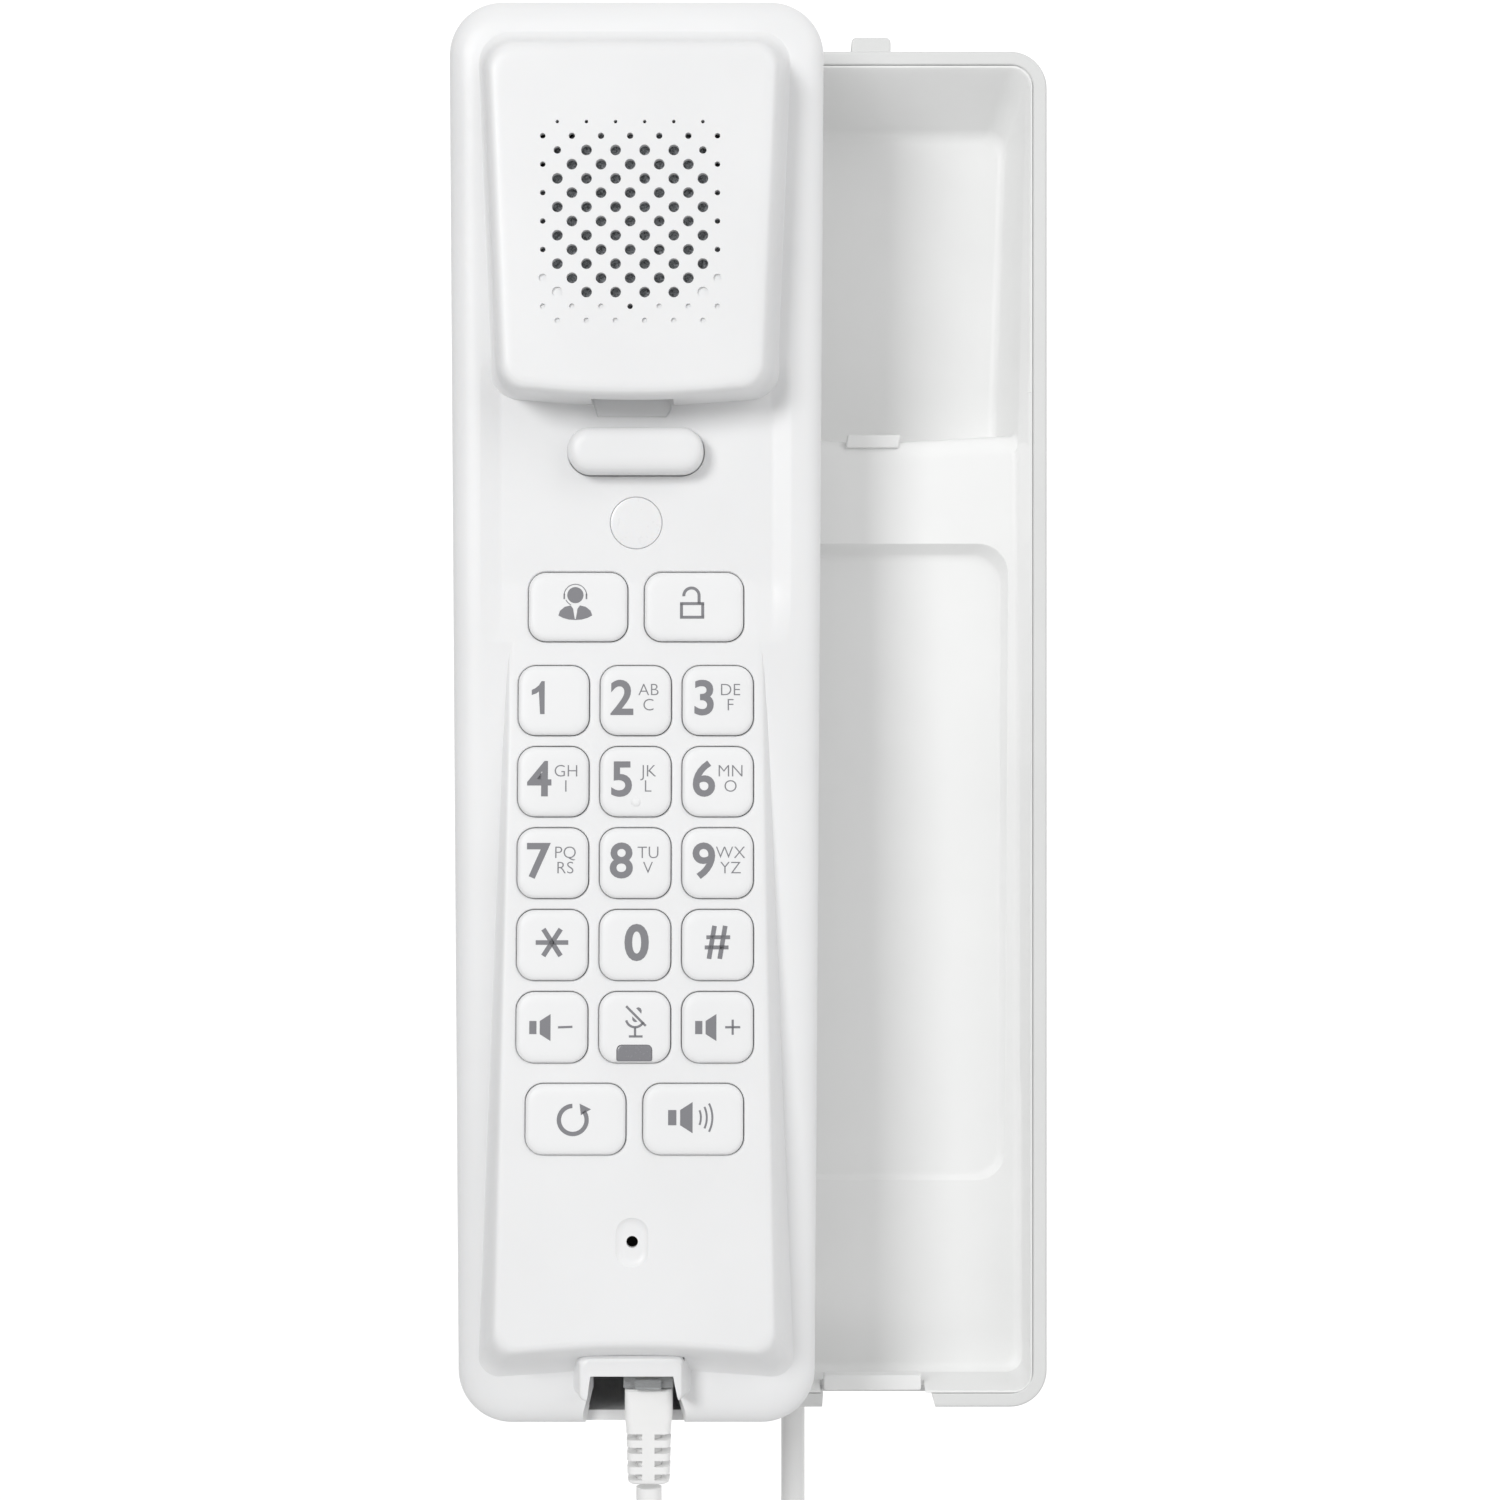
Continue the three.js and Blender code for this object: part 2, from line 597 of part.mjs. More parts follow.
// Keys: name, column position, row position, size.
const rowZ = (row) => firstDigitRow - row * keyPitchZ;
const digitNames = [["1", "2", "3"], ["4", "5", "6"], ["7", "8", "9"], ["star", "0", "hash"],
  ["volume_down", "mute", "volume_up"]];
const keys = [
  ["operator", -wideKeyOffset, upperWideRow, wideKeySize],
  ["unlock", wideKeyOffset, upperWideRow, wideKeySize],
  ...digitNames.flatMap((names, row) => names.map((name, column) => [name, (column - 1) * keyPitchX,
    rowZ(row), keySize])),
  ["redial", -wideKeyOffset, lowerWideRow, wideKeySize],
  ["speaker", wideKeyOffset, lowerWideRow, wideKeySize],
];

// A body under the sloping key face: outlines at heights measured from that face.
function onFace(levels, x, z, [width, height]) {
  return loft(levels.map(([grow, rise]) => [
    rectangle(x - width / 2 - grow, x + width / 2 + grow, z - height / 2 - grow, z + height / 2 + grow,
      Math.min(Math.max(keyCorner + grow, 0.8), Math.min(width, height) / 2 + grow - 0.1), 2),
    (px, pz) => -(faceHeight(Math.min(pz, keySlopeStart)) + rise),
  ]));
}

// Staggered rows of round holes in a square patch.
function grilleHoles() {
  const holes = [];
  const rows = 11;
  for (let row = 0; row < rows; row++) {
    const count = row % 2 ? 6 : 5;
    for (let column = 0; column < count; column++) {
      const x = grilleX + (column - (count - 1) / 2) * grillePitch;
      const z = grilleZ + ((rows - 1) / 2 - row) * (grillePitch / 2) * 0.976;
      holes.push(turned(x, z, [[grilleHole / 2, -earpieceHeight - 1],
        [grilleHole / 2, -earpieceHeight + wall + 1]], 6));
    }
  }
  return holes;
}

// Room for the skirts of the keys, a wall below the face.
function keyRoom() {
  const side = keyPitchX + keySize[0] / 2 + keySkirt + gap;
  const reach = keySize[1] / 2 + keySkirt + gap;
  const outline = rectangle(-side, side, lowerWideRow - reach, upperWideRow + reach, 2, 2);
  return loft([[outline, 0.4], [outline, (x, z) =>
    -(valleyHeight + keySlope * (keySlopeStart - z) - wall)]]);
}

const jackBack = -jackHeight + plugHeight / 2 + 1.4;
const jackFront = -jackHeight - plugHeight / 2 - 1.2;
const handsetScrewZ = [48.4, -73.3];
const handsetScrewSink = 3;
const frontBossEnd = 8.7;

function frontShell() {
  const plate = loft([
    [handsetOutline(0), -gap / 2], [handsetOutline(0.25), -1.2], [handsetOutline(0.9), -2.2],
      [handsetOutline(1.9), -rimHeight]]);
  const outer = cut(plate, valleyCut());
  const body = join(outer, earpieceBlock(0, -1, 2.9), faceBlock(0, -1, 0));
  const inside = [
    loft([[handsetOutline(wall + 0.2), 1], [handsetOutline(wall + 0.6), -0.5]]),
    earpieceBlock(wall, 0.2, 2.9),
    faceBlock(wall, 0.2, wall),
  ];
  const keyWindows = keys.map(([, x, z, size]) => onFace([[gap, 3], [gap, -4]], x, z, size));
  const plungerWindow = loft([
    [rectangle(-plungerWidth / 2 - gap, plungerWidth / 2 + gap, plungerZ - plungerHeight / 2 - gap,
      plungerZ + plungerHeight / 2 + gap, 3.4), -rimHeight - 1],
    [rectangle(-plungerWidth / 2 - gap, plungerWidth / 2 + gap, plungerZ - plungerHeight / 2 - gap,
      plungerZ + plungerHeight / 2 + gap, 3.4), 1],
  ]);
  const lensHole = turned(0, lensZ, [[lensDiameter / 2 + gap, -rimHeight - 1],
    [lensDiameter / 2 + gap, 1]], 16);
  const micBore = turned(micX, micZ, [[micHole / 2, -faceHeight(micZ) - 2],
    [micHole / 2, -faceHeight(micZ) + wall + 2]], 10);
  const hookPocket = block(-pocketWidth / 2, pocketWidth / 2, -earpieceHeight + pocketLip,
    -valleyHeight + pocketSink,
    pocketBottom, pocketTop);
  const jackWindow = block(jackLeft + 0.4, jackRight - 1.2, -20, 1, -half - 1, jackMouth);
  const jackRoom = block(jackLeft - gap, jackRight + gap, jackFront - gap, 1, jackMouth - 0.5,
    jackMouth + jackLength + gap);
  const jackLip = block(jackLeft - 1.2, jackRight + 1, jackFront - 1.5, -rimHeight + 1, jackMouth - 0.4,
    jackMouth + 4);
  const bosses = handsetScrewZ.map((z) => turned(0, z,
    [[frontBossRadius, Math.min(-4, wall - faceHeight(z) - 1)], [frontBossRadius, frontBossEnd]], 12));
  const bores = handsetScrewZ.map((z) => turned(0, z,
    [[screwShaft / 2 + gap, 3.5], [screwShaft / 2 + gap, frontBossEnd + 1]], 12));
  const shell = cut(join(body, jackLip), ...inside, ...grilleHoles(), ...keyWindows, keyRoom());
  return cut(join(cut(shell, jackRoom), ...bosses), plungerWindow, lensHole, micBore, hookPocket,
    jackWindow, ...bores);
}
add(handset, "handset_front_shell", frontShell(), white);

const rearProfile = [[0, gap / 2], [0.3, 5], [1.2, 10], [3.2, 14.5], [6.5, 17.2], [9.5, rearDepth]];
function rearShell() {
  const outer = loft(rearProfile.map(([inset, y]) => [handsetOutline(inset), y]));
  const inner = loft([
    [handsetOutline(wall), -1], [handsetOutline(wall + 0.3), 5], [handsetOutline(wall + 1.2), 10],
    [handsetOutline(wall + 3.4), 14], [handsetOutline(wall + 7), rearDepth - wall]]);
  const bosses = handsetScrewZ.map((z) => turned(0, z,
    [[rearBossRadius, frontBossEnd + gap], [rearBossRadius, rearDepth - 1]]));
  const bores = handsetScrewZ.map((z) => turned(0, z,
    [[screwShaft / 2 + gap, 0], [screwShaft / 2 + gap, rearDepth - handsetScrewSink - 1.6 - gap],
    [screwHead / 2 + gap, rearDepth - handsetScrewSink - 1.6 - gap],
      [screwHead / 2 + gap, rearDepth + 1]]));
  const bootWay = block(jackX - plugWidth / 2 - 0.8, jackX + plugWidth / 2 + 0.8, -1,
    -jackHeight + plugHeight / 2 + 0.5, -half - 1, jackMouth + 1);
  return cut(join(cut(outer, inner), ...bosses), ...bores, bootWay);
}
add(handset, "handset_rear_shell", rearShell(), white);

function handsetScrew(z) {
  const y = rearDepth - handsetScrewSink;
  const body = turned(0, z, [
    [screwShaft / 2, y - handsetScrewLength], [screwShaft / 2, y - 1.6], [screwHead / 2, y - 1.6],
      [screwHead / 2, y - 0.5], [screwHead / 2 - 0.6, y]], 10);
  const [long, narrow] = screwSlotHalf;
  const slot = block(-long, long, y - 0.8, y + 1, z - narrow, z + narrow);
  const cross = block(-narrow, narrow, y - 0.8, y + 1, z - long, z + long);
  return cut(body, slot, cross);
}
handsetScrewZ.forEach((z, i) => add(handset, `handset_screw_${i + 1}`, handsetScrew(z), steel));

// Receiver: cloth behind the grille, and the speaker behind the cloth.
const clothFront = -earpieceHeight + wall + gap;
const clothOutline = rectangle(grilleX - clothHalf[0], grilleX + clothHalf[0], grilleZ - clothHalf[1],
  grilleZ + clothHalf[1], 3, 3);
add(handset, "receiver_cloth", loft([[clothOutline, clothFront],
  [clothOutline, clothFront + clothThickness]]), felt);
const speakerFront = clothFront + clothThickness + gap;
add(handset, "receiver_speaker", turned(grilleX, grilleZ, [
  [speakerDiameter / 2, speakerFront], [speakerDiameter / 2, speakerFront + 1.2],
    [speakerDiameter / 2 - 3, speakerFront + 4.2],
  [speakerDiameter / 2 - 7, speakerFront + 4.4], [speakerDiameter / 2 - 7, speakerFront + 8]], 24),
    darkPlastic);

// Microphone capsule in a rubber boot behind its hole.
const micFront = -faceHeight(micZ) + wall + gap + 0.4;
add(handset, "microphone_boot", cut(
  turned(micX, micZ, [[micBootRadius, micFront], [micBootRadius, micFront + micBootHeight]], 16),
  turned(micX, micZ, [[1, micFront - 1], [1, micFront + 1], [2.8, micFront + 1], [2.8, micFront + 5]],
    16)), rubber);
add(handset, "microphone", turned(micX, micZ, [[micRadius, micFront + 1 + gap],
  [micRadius, micFront + 3.9]], 16), steel);

// Keypad: silicone mat with a dome under each key, and the board behind it.
const capFoot = -(wall + 0.4);
const skirtFoot = capFoot - 0.6;
const domeTop = skirtFoot - keyTravel - gap;
const matTop = domeTop - 0.9;
const matFoot = matTop - 1;
const padSize = [2 * (wideKeyOffset + wideKeySize[0] / 2) + 1,
  upperWideRow - lowerWideRow + keySize[1] + 1];
const padZ = (upperWideRow + lowerWideRow) / 2;
function keypadMat() {
  const sheet = loft([matTop, matFoot].map((rise) => [
    rectangle(-padSize[0] / 2, padSize[0] / 2, padZ - padSize[1] / 2, padZ + padSize[1] / 2, 1.5, 2),
    (x, z) => -(valleyHeight + keySlope * (keySlopeStart - z) + rise)]));
  const domes = keys.map(([, x, z]) => turned(x, z, [
    [domeRadii[0], -(faceHeight(z) + domeTop)], [domeRadii[1], -(faceHeight(z) + matTop - 0.4)]], 6));
  return join(sheet, ...domes);
}
add(handset, "keypad_mat", keypadMat(), silicone);
const boardTop = matFoot - gap;
add(handset, "keypad_board", loft([boardTop, boardTop - keypadBoardThickness].map((rise) => [
  rectangle(-padSize[0] / 2, padSize[0] / 2, padZ - padSize[1] / 2, padZ + padSize[1] / 2, 1.5, 2),
  (x, z) => -(valleyHeight + keySlope * (keySlopeStart - z) + rise)])), board);

// The mute key carries a small lamp window at its lower edge.
const windowSize = [5.5, 2.6];
const windowZ = rowZ(4) - keySize[1] / 2 + windowSize[1] / 2 + 0.15;
function keyCap(name, x, z, size) {
  const cap = onFace([[-0.7, keyRise], [-0.2, keyRise - 0.25], [0, keyRise - 0.8], [0, capFoot],
    [keySkirt, capFoot], [keySkirt, skirtFoot]], x, z, size);
  if (name !== "mute") return cap;
  const pocket = block(x - windowSize[0] / 2 - gap, x + windowSize[0] / 2 + gap, -faceHeight(z) - 4,
    -faceHeight(z) + 0.2,
    windowZ - windowSize[1] / 2 - gap, windowZ + windowSize[1] / 2 + gap);
  return cut(cap, pocket);
}
keys.forEach(([name, x, z, size]) => add(handset, `key_${name}`, keyCap(name, x, z, size), keyWhite));
add(handset, "mute_lamp_window", loft([-0.3, -faceHeight(windowZ) - keyRise + 0.25].map((level, i) => [
  rectangle(-windowSize[0] / 2, windowSize[0] / 2, windowZ - windowSize[1] / 2,
    windowZ + windowSize[1] / 2, 0.5, 2),
  i ? level : -faceHeight(windowZ) - 0.2])), lampGrey);

// Hook plunger: a rounded bar through the valley floor, on the lever of a small switch.
const plungerFlange = 0.4 - gap; // top of the flange, inside the shell
function hookPlunger() {
  const outline = (grow, radius) => rectangle(-plungerWidth / 2 - grow, plungerWidth / 2 + grow,
    plungerZ - plungerHeight / 2 - grow, plungerZ + plungerHeight / 2 + grow, radius, 3);
  return loft([
    [outline(-1.6, 1.9), -plungerTop], [outline(-0.5, 2.9), -plungerTop + 0.6],
      [outline(0, 3.4), -plungerTop + 1.8],
    [outline(0, 3.4), plungerFlange], [outline(1, 3.4), plungerFlange],
      [outline(1, 3.4), plungerFlange + 1]]);
}
add(handset, "hook_plunger", hookPlunger(), white);
const plungerTravel = 1.6;
const switchFront = plungerFlange + 1 + plungerTravel + gap;
add(handset, "hook_switch", join(
  block(-6.4, 6.4, switchFront + 0.8, switchFront + 7, plungerZ - 3, plungerZ + 3),
  block(-1.4, 1.4, switchFront, switchFront + 1.2, plungerZ - 1.4, plungerZ + 1.4)), darkPlastic);
add(handset, "indicator_lens", turned(0, lensZ, [
  [lensDiameter / 2, -valleyHeight], [lensDiameter / 2, -gap], [lensDiameter / 2 + 1, gap],
    [lensDiameter / 2 + 1, 1.2]], 16), clearPlastic);

// Socket in the foot of the handset, and a steel weight in the rear shell.
function handsetJack() {
  const body = block(jackLeft, jackRight, jackFront, jackBack, jackMouth + gap, jackMouth + jackLength);
  const mouth = block(jackX - plugWidth / 2 - gap, jackX + plugWidth / 2 + gap,
    -jackHeight - plugHeight / 2 - gap,
    -jackHeight + plugHeight / 2 + gap, jackMouth - 1, jackMouth + 11);
  return cut(body, mouth);
}
add(handset, "handset_jack", handsetJack(), darkPlastic);
const weightOutline = rectangle(-weightHalf, weightHalf, weightBottom, weightTop, 2, 2);
add(handset, "balance_weight", loft([[weightOutline, rearDepth - wall - gap - weightThickness],
  [weightOutline, rearDepth - wall - gap]]), steel);

// ---------- cord ----------
// A four-pole plug with its latch up front, then the ribbed boot; both point down at (x, y, z).
function plug(x, y, z) {
  const body = block(x - plugWidth / 2, x + plugWidth / 2, y - plugHeight / 2, y + plugHeight / 2, z,
    z + plugLength);
  const latch = block(x - 2, x + 2, y - plugHeight / 2 - 1, y - plugHeight / 2 + 0.5, z - 0.1, z + 1.4);
  return join(body, latch);
}

function boot(x, y, z) {
  const rings = [];
  const ribs = 5;
  const slice = (width, height) => rectangle(-width / 2, width / 2, -height / 2, height / 2,
    Math.min(width, height) * 0.22, 1);
  rings.push([slice(plugWidth - 0.3, 5.6), 0], [slice(plugWidth - 0.4, 5.6), bootLength * 0.42]);
  for (let i = 0; i < ribs; i++) {
    const at = bootLength * (0.45 + 0.11 * i);
    const size = THREE.MathUtils.lerp(plugWidth - 0.9, bootTip, i / (ribs - 1));
    rings.push([slice(size - 1, 4.2), at], [slice(size, 4.9), at + 0.3], [slice(size, 4.9), at + 1.1]);
  }
  return loft(rings).rotateX(-Math.PI / 2).translate(x, y, z);
}

const basePlugY = socketY - cordSocketSize[1] / 2;
const basePlugZ = alcoveTop - 2.3;
add(base, "base_plug", plug(cordSocketX, basePlugY, basePlugZ), clearPlastic);
add(base, "base_plug_boot", boot(cordSocketX, basePlugY, basePlugZ - gap), cordWhite);
add(handset, "handset_plug", plug(jackX, -jackHeight, jackMouth - 2.3), clearPlastic);
add(handset, "handset_plug_boot", boot(jackX, -jackHeight, jackMouth - 2.3 - gap), cordWhite);

// Routes, in the frame of the whole object. Each starts where its boot ends.
const baseLeadStart = [cordSocketX, basePlugY, basePlugZ - 2 * gap - bootLength];
const handsetLeadStart = [handsetX + jackX, handsetY - jackHeight,
  handsetZ + jackMouth - 2.3 - 2 * gap - bootLength];
const baseLead = [baseLeadStart, [-12.8, -9.3, -120], [-12.8, -9.6, -130], [-12.9, -12, -142],
  [-13.1, -18.5, -156],
  [-13.4, -27, -170], [-13.6, -33, -182], [-13.6, -35, -191], [-13.6, -35, -196]];
const fromHandset = ([x, y, z]) => [handsetLeadStart[0] + x, handsetLeadStart[1] + y,
  handsetLeadStart[2] + z];
const handsetLead = [[0, 0, 0], [0, 0, -6.2], [0, 0.1, -13.2], [0, 0.8, -20.2], [0, 2, -27.2],
  [0, 2.8, -31.9]].map(fromHandset);
const coilRoute = [[-13.6, -35, -196.3], [-13.6, -35, -204], [-12.2, -35.2, -218], [-9.6, -36, -234],
  [-7.6, -37, -250],
  [-8.6, -38.2, -265], [-13.6, -39.6, -277], [-21, -41, -282], [-29, -42, -280], [-35.8, -42.6, -271],
  [-40, -42.8, -257], [-41.4, -42.8, -240], [-40.2, -42.6, -222], [-38, -43.2, -203], fromHandset([-0.6, 8, -66.2]),
  fromHandset([0, 5.9, -50.2]), fromHandset([0, 2.85, -32.2])];
add(group, "base_lead", tube(baseLead, cordDiameter, 10, 8), cordWhite);
add(group, "handset_lead", tube(handsetLead, cordDiameter, 5, 8), cordWhite);
add(group, "cord_coil", tube(coilRoute, coilDiameter, 26, 10), cordWhite);

export default group;
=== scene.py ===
"""Slimline wall phone: the looks of the handset, its wall base and the curly cord between them.

Sizes are in millimetres, and MM turns them into metres. A place on the handset is (x, z, h): across, up, and
height above the parting line of its two shells. A place on the base is (x, z, y) in the frame's axes.
"""
import math

import bmesh
import bpy
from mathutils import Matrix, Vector


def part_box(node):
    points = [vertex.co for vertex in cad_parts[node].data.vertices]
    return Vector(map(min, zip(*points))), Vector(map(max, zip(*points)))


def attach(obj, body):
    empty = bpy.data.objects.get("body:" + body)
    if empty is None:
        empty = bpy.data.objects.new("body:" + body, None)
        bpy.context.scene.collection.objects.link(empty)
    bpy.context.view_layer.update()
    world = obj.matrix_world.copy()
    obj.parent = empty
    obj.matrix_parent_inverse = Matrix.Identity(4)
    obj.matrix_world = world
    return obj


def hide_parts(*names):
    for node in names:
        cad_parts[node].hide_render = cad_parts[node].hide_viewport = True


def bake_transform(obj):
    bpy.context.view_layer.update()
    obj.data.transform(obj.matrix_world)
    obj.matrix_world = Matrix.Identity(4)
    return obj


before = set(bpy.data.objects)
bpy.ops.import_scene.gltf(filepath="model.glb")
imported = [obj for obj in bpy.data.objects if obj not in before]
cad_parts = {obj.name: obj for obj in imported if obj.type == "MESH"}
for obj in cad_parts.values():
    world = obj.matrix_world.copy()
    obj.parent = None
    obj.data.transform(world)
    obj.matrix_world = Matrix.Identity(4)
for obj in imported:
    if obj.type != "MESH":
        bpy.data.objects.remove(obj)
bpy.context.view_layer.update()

MM = 0.001
TAU = 2 * math.pi

# ---------- sizes read from the frame ----------
EARPIECE_HEIGHT = 13.0  # of the front shell, above the parting line
shell_low, shell_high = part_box("handset_front_shell")
HANDSET = Vector(((shell_low[0] + shell_high[0]) / 2, shell_low[1] + EARPIECE_HEIGHT * MM,
                  (shell_low[2] + shell_high[2]) / 2))
HALF_LENGTH = (shell_high[2] - shell_low[2]) / 2 / MM
HALF_TOP = (shell_high[0] - shell_low[0]) / 2 / MM
HALF_BOTTOM = HALF_TOP - 1.5  # the handset is a little narrower at its lower end
REAR_DEPTH = (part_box("handset_rear_shell")[1][1] - HANDSET.y) / MM
base_low, base_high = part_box("rear_housing")
BASE_HALF = base_high[0] / MM
BASE_TOP = -base_low[2] / MM  # half the height, without the lug
LUG_TOP = base_high[2] / MM
BASE_DEPTH = -base_low[1] / MM
RIM_Y = -BASE_DEPTH
RIM = 2.3  # thickness of the base's outer wall
WALL = 1.6  # thickness of the handset's walls

# ---------- handset shapes shared by its pieces ----------
CORNER = 8.3
RIM_HEIGHT = 3.0
VALLEY = 2.2  # height of the face under the earpiece, where the key face starts
KEY_SLOPE, SLOPE_START = 0.0857, 20.0  # the key face rises downwards from here
EAR_TOP, EAR_BOTTOM = 101.1, 49.4
EAR_SAG = 1.8  # bow of the earpiece's lower edge
EAR_HALF_TOP, EAR_HALF_BOTTOM = 21.9, 19.6
FACE_HALF_TOP, FACE_HALF_BOTTOM = 19.2, 21.3
CHIN = -98.0  # lower end of the key face
KEY_GAP, KEY_RISE, KEY_CORNER = 0.13, 1.0, 2.7
PITCH_X, PITCH_Z = 12.7, 12.55
FIRST_ROW, UPPER_ROW, LOWER_ROW = 1.75, 16.3, -62.4
WIDE_OFFSET = 9.0  # of the wide keys from the middle
KEY, WIDE_KEY = (10.9, 10.75), (15.3, 10.7)
GRILLE_X, GRILLE_Z, GRILLE_STEP = -0.5, 74.4, 4.42
PLUNGER_HALF, PLUNGER_LOW, PLUNGER_HIGH = 10.5, 36.8, 44.0
LENS_Z = 29.4
SCREW_ROWS = (48.4, -73.3)  # screws in the handset's back
JACK_X, JACK_MOUTH = 2.0, -102.0
CONTACT_PITCH = 1.02
CORD = 4.0


def face_height(z):
    return VALLEY + KEY_SLOPE * max(0.0, SLOPE_START - z)


def smooth(a, b, v):
    t = min(1.0, max(0.0, (v - a) / (b - a)))
    return t * t * (3 - 2 * t)


# ---------- camera ----------
def make_camera():
    data = bpy.data.cameras.new("camera")
    data.sensor_width = 36
    data.lens = 69.89
    data.clip_start = 0.01
    camera = bpy.data.objects.new("camera", data)
    camera.location = (-0.0201, -0.505, -0.0034)
    camera.rotation_euler = (math.pi / 2, 0, 0)
    bpy.context.collection.objects.link(camera)
    bpy.context.scene.camera = camera


make_camera()


# ---------- materials ----------
def node_material(name):
    """A new material, its node tree, its shader and the place on the object."""
    material = bpy.data.materials.new(name)
    material.use_nodes = True
    tree = material.node_tree
    return material, tree, tree.nodes["Principled BSDF"], tree.nodes.new("ShaderNodeTexCoord").outputs["Object"]


def noise(tree, place, scale, detail=2.0, distortion=0.0):
    texture = tree.nodes.new("ShaderNodeTexNoise")
    texture.inputs["Scale"].default_value = scale
    texture.inputs["Detail"].default_value = detail
    texture.inputs["Distortion"].default_value = distortion
    tree.links.new(place, texture.inputs["Vector"])
    return texture.outputs["Fac"]


def colour_by(tree, factor, shader, stops, color, shares):
    """Runs the base colour between two shades of one colour."""
    ramp = tree.nodes.new("ShaderNodeValToRGB")
    for element, stop, share in zip(ramp.color_ramp.elements, stops, shares):
        element.position = stop
        element.color = [min(1.0, c * share) for c in color] + [1]
    tree.links.new(factor, ramp.inputs["Fac"])
    tree.links.new(ramp.outputs["Color"], shader.inputs["Base Color"])


def roughness_by(tree, factor, shader, least, most):
    gloss = tree.nodes.new("ShaderNodeMapRange")
    gloss.inputs["To Min"].default_value = least
    gloss.inputs["To Max"].default_value = most
    tree.links.new(factor, gloss.inputs["Value"])
    tree.links.new(gloss.outputs["Result"], shader.inputs["Roughness"])


def bump_by(tree, factor, shader, strength, depth):
    bump = tree.nodes.new("ShaderNodeBump")
    bump.inputs["Strength"].default_value = strength
    bump.inputs["Distance"].default_value = depth * MM
    tree.links.new(factor, bump.inputs["Height"])
    tree.links.new(bump.outputs["Normal"], shader.inputs["Normal"])


def plastic(name, color, roughness=0.42, grain=900.0, depth=0.012, vary=0.02, scatter=0.0):
    """Moulded plastic: a fine moulded grain, slow drifts of tone, and uneven gloss."""
    material, tree, shader, place = node_material(name)
    drift = noise(tree, place, 45, 3)
    colour_by(tree, drift, shader, (0.3, 0.7), color, (1 - vary, 1 + vary / 2))
    fine = noise(tree, place, grain)
    roughness_by(tree, fine, shader, roughness - 0.05, roughness + 0.07)
    bump_by(tree, fine, shader, 0.25, depth)
    shader.inputs["Subsurface Weight"].default_value = scatter
    shader.inputs["Subsurface Radius"].default_value = (0.0012, 0.001, 0.0008)
    return material


def felt(name, color):
    """Thin acoustic felt: matted fibres, light and dark."""
    material, tree, shader, place = node_material(name)
    fibre = noise(tree, place, 2600, 5, 1.2)
    colour_by(tree, fibre, shader, (0.36, 0.66), color, (0.35, 1.7))
    bump_by(tree, fibre, shader, 0.8, 0.08)
    shader.inputs["Roughness"].default_value = 0.95
    shader.inputs["Sheen Weight"].default_value = 0.3
    return material


def metal(name, color, roughness=0.3):
    """Plated metal with fine drawn lines."""
    material, tree, shader, place = node_material(name)
    stretch = tree.nodes.new("ShaderNodeMapping")
    stretch.inputs["Scale"].default_value = (1, 1, 8)
    tree.links.new(place, stretch.inputs["Vector"])
    lines = noise(tree, stretch.outputs["Vector"], 1500, 3)
    colour_by(tree, lines, shader, (0.0, 1.0), color, (0.8, 1.0))
    roughness_by(tree, lines, shader, roughness - 0.08, roughness + 0.12)
    shader.inputs["Metallic"].default_value = 1
    return material


def clear(name):
    """Clear moulded plastic with faint flow marks."""
    material, tree, shader, place = node_material(name)
    flow = noise(tree, place, 300)
    bump_by(tree, flow, shader, 0.2, 0.02)
    roughness_by(tree, flow, shader, 0.08, 0.2)
    shader.inputs["Base Color"].default_value = (0.86, 0.88, 0.89, 1)
    shader.inputs["Transmission Weight"].default_value = 0.75
    shader.inputs["IOR"].default_value = 1.5
    return material


HANDSET_WHITE = plastic("handset_plastic", (0.80, 0.803, 0.807), 0.4, scatter=0.05)
KEY_WHITE = plastic("key_plastic", (0.81, 0.813, 0.817), 0.46, grain=1400)
# The base's housing and cradle are one plastic: the housing takes a darker copy as painted shade on its rim, and
# the cradle, tab and tongue a lighter copy as painted light on their walls and floors.
HOUSING_WHITE_PAINTED_SHADE = plastic("housing_plastic_painted_shade", (0.70, 0.705, 0.70), 0.5)
CRADLE_WHITE_PAINTED_LIGHT = plastic("cradle_plastic_painted_light", (0.85, 0.853, 0.848), 0.5, grain=700, depth=0.03)
CORD_WHITE = plastic("cord_jacket", (0.84, 0.84, 0.835), 0.38, grain=500)
LENS_WHITE = plastic("lens_plastic", (0.81, 0.813, 0.817), 0.28, scatter=0.2)
LEGEND_GREY = plastic("legend_ink", (0.205, 0.205, 0.22), 0.55, grain=2500)
LAMP_GREY = plastic("lamp_plastic", (0.215, 0.215, 0.23), 0.25, grain=1800)
DARK = plastic("socket_plastic", (0.055, 0.057, 0.062), 0.5)
RUBBER = plastic("black_rubber", (0.03, 0.028, 0.027), 0.8, grain=2000)
SILICONE = plastic("silicone", (0.6, 0.6, 0.58), 0.7)
BOARD = plastic("circuit_board", (0.02, 0.12, 0.06), 0.35, grain=1200, vary=0.25)
FELT = felt("receiver_felt", (0.24, 0.25, 0.262))
STEEL = metal("steel", (0.62, 0.63, 0.65))
GOLD = metal("gold_contact", (0.75, 0.55, 0.24), 0.22)
CLEAR = clear("clear_plastic")


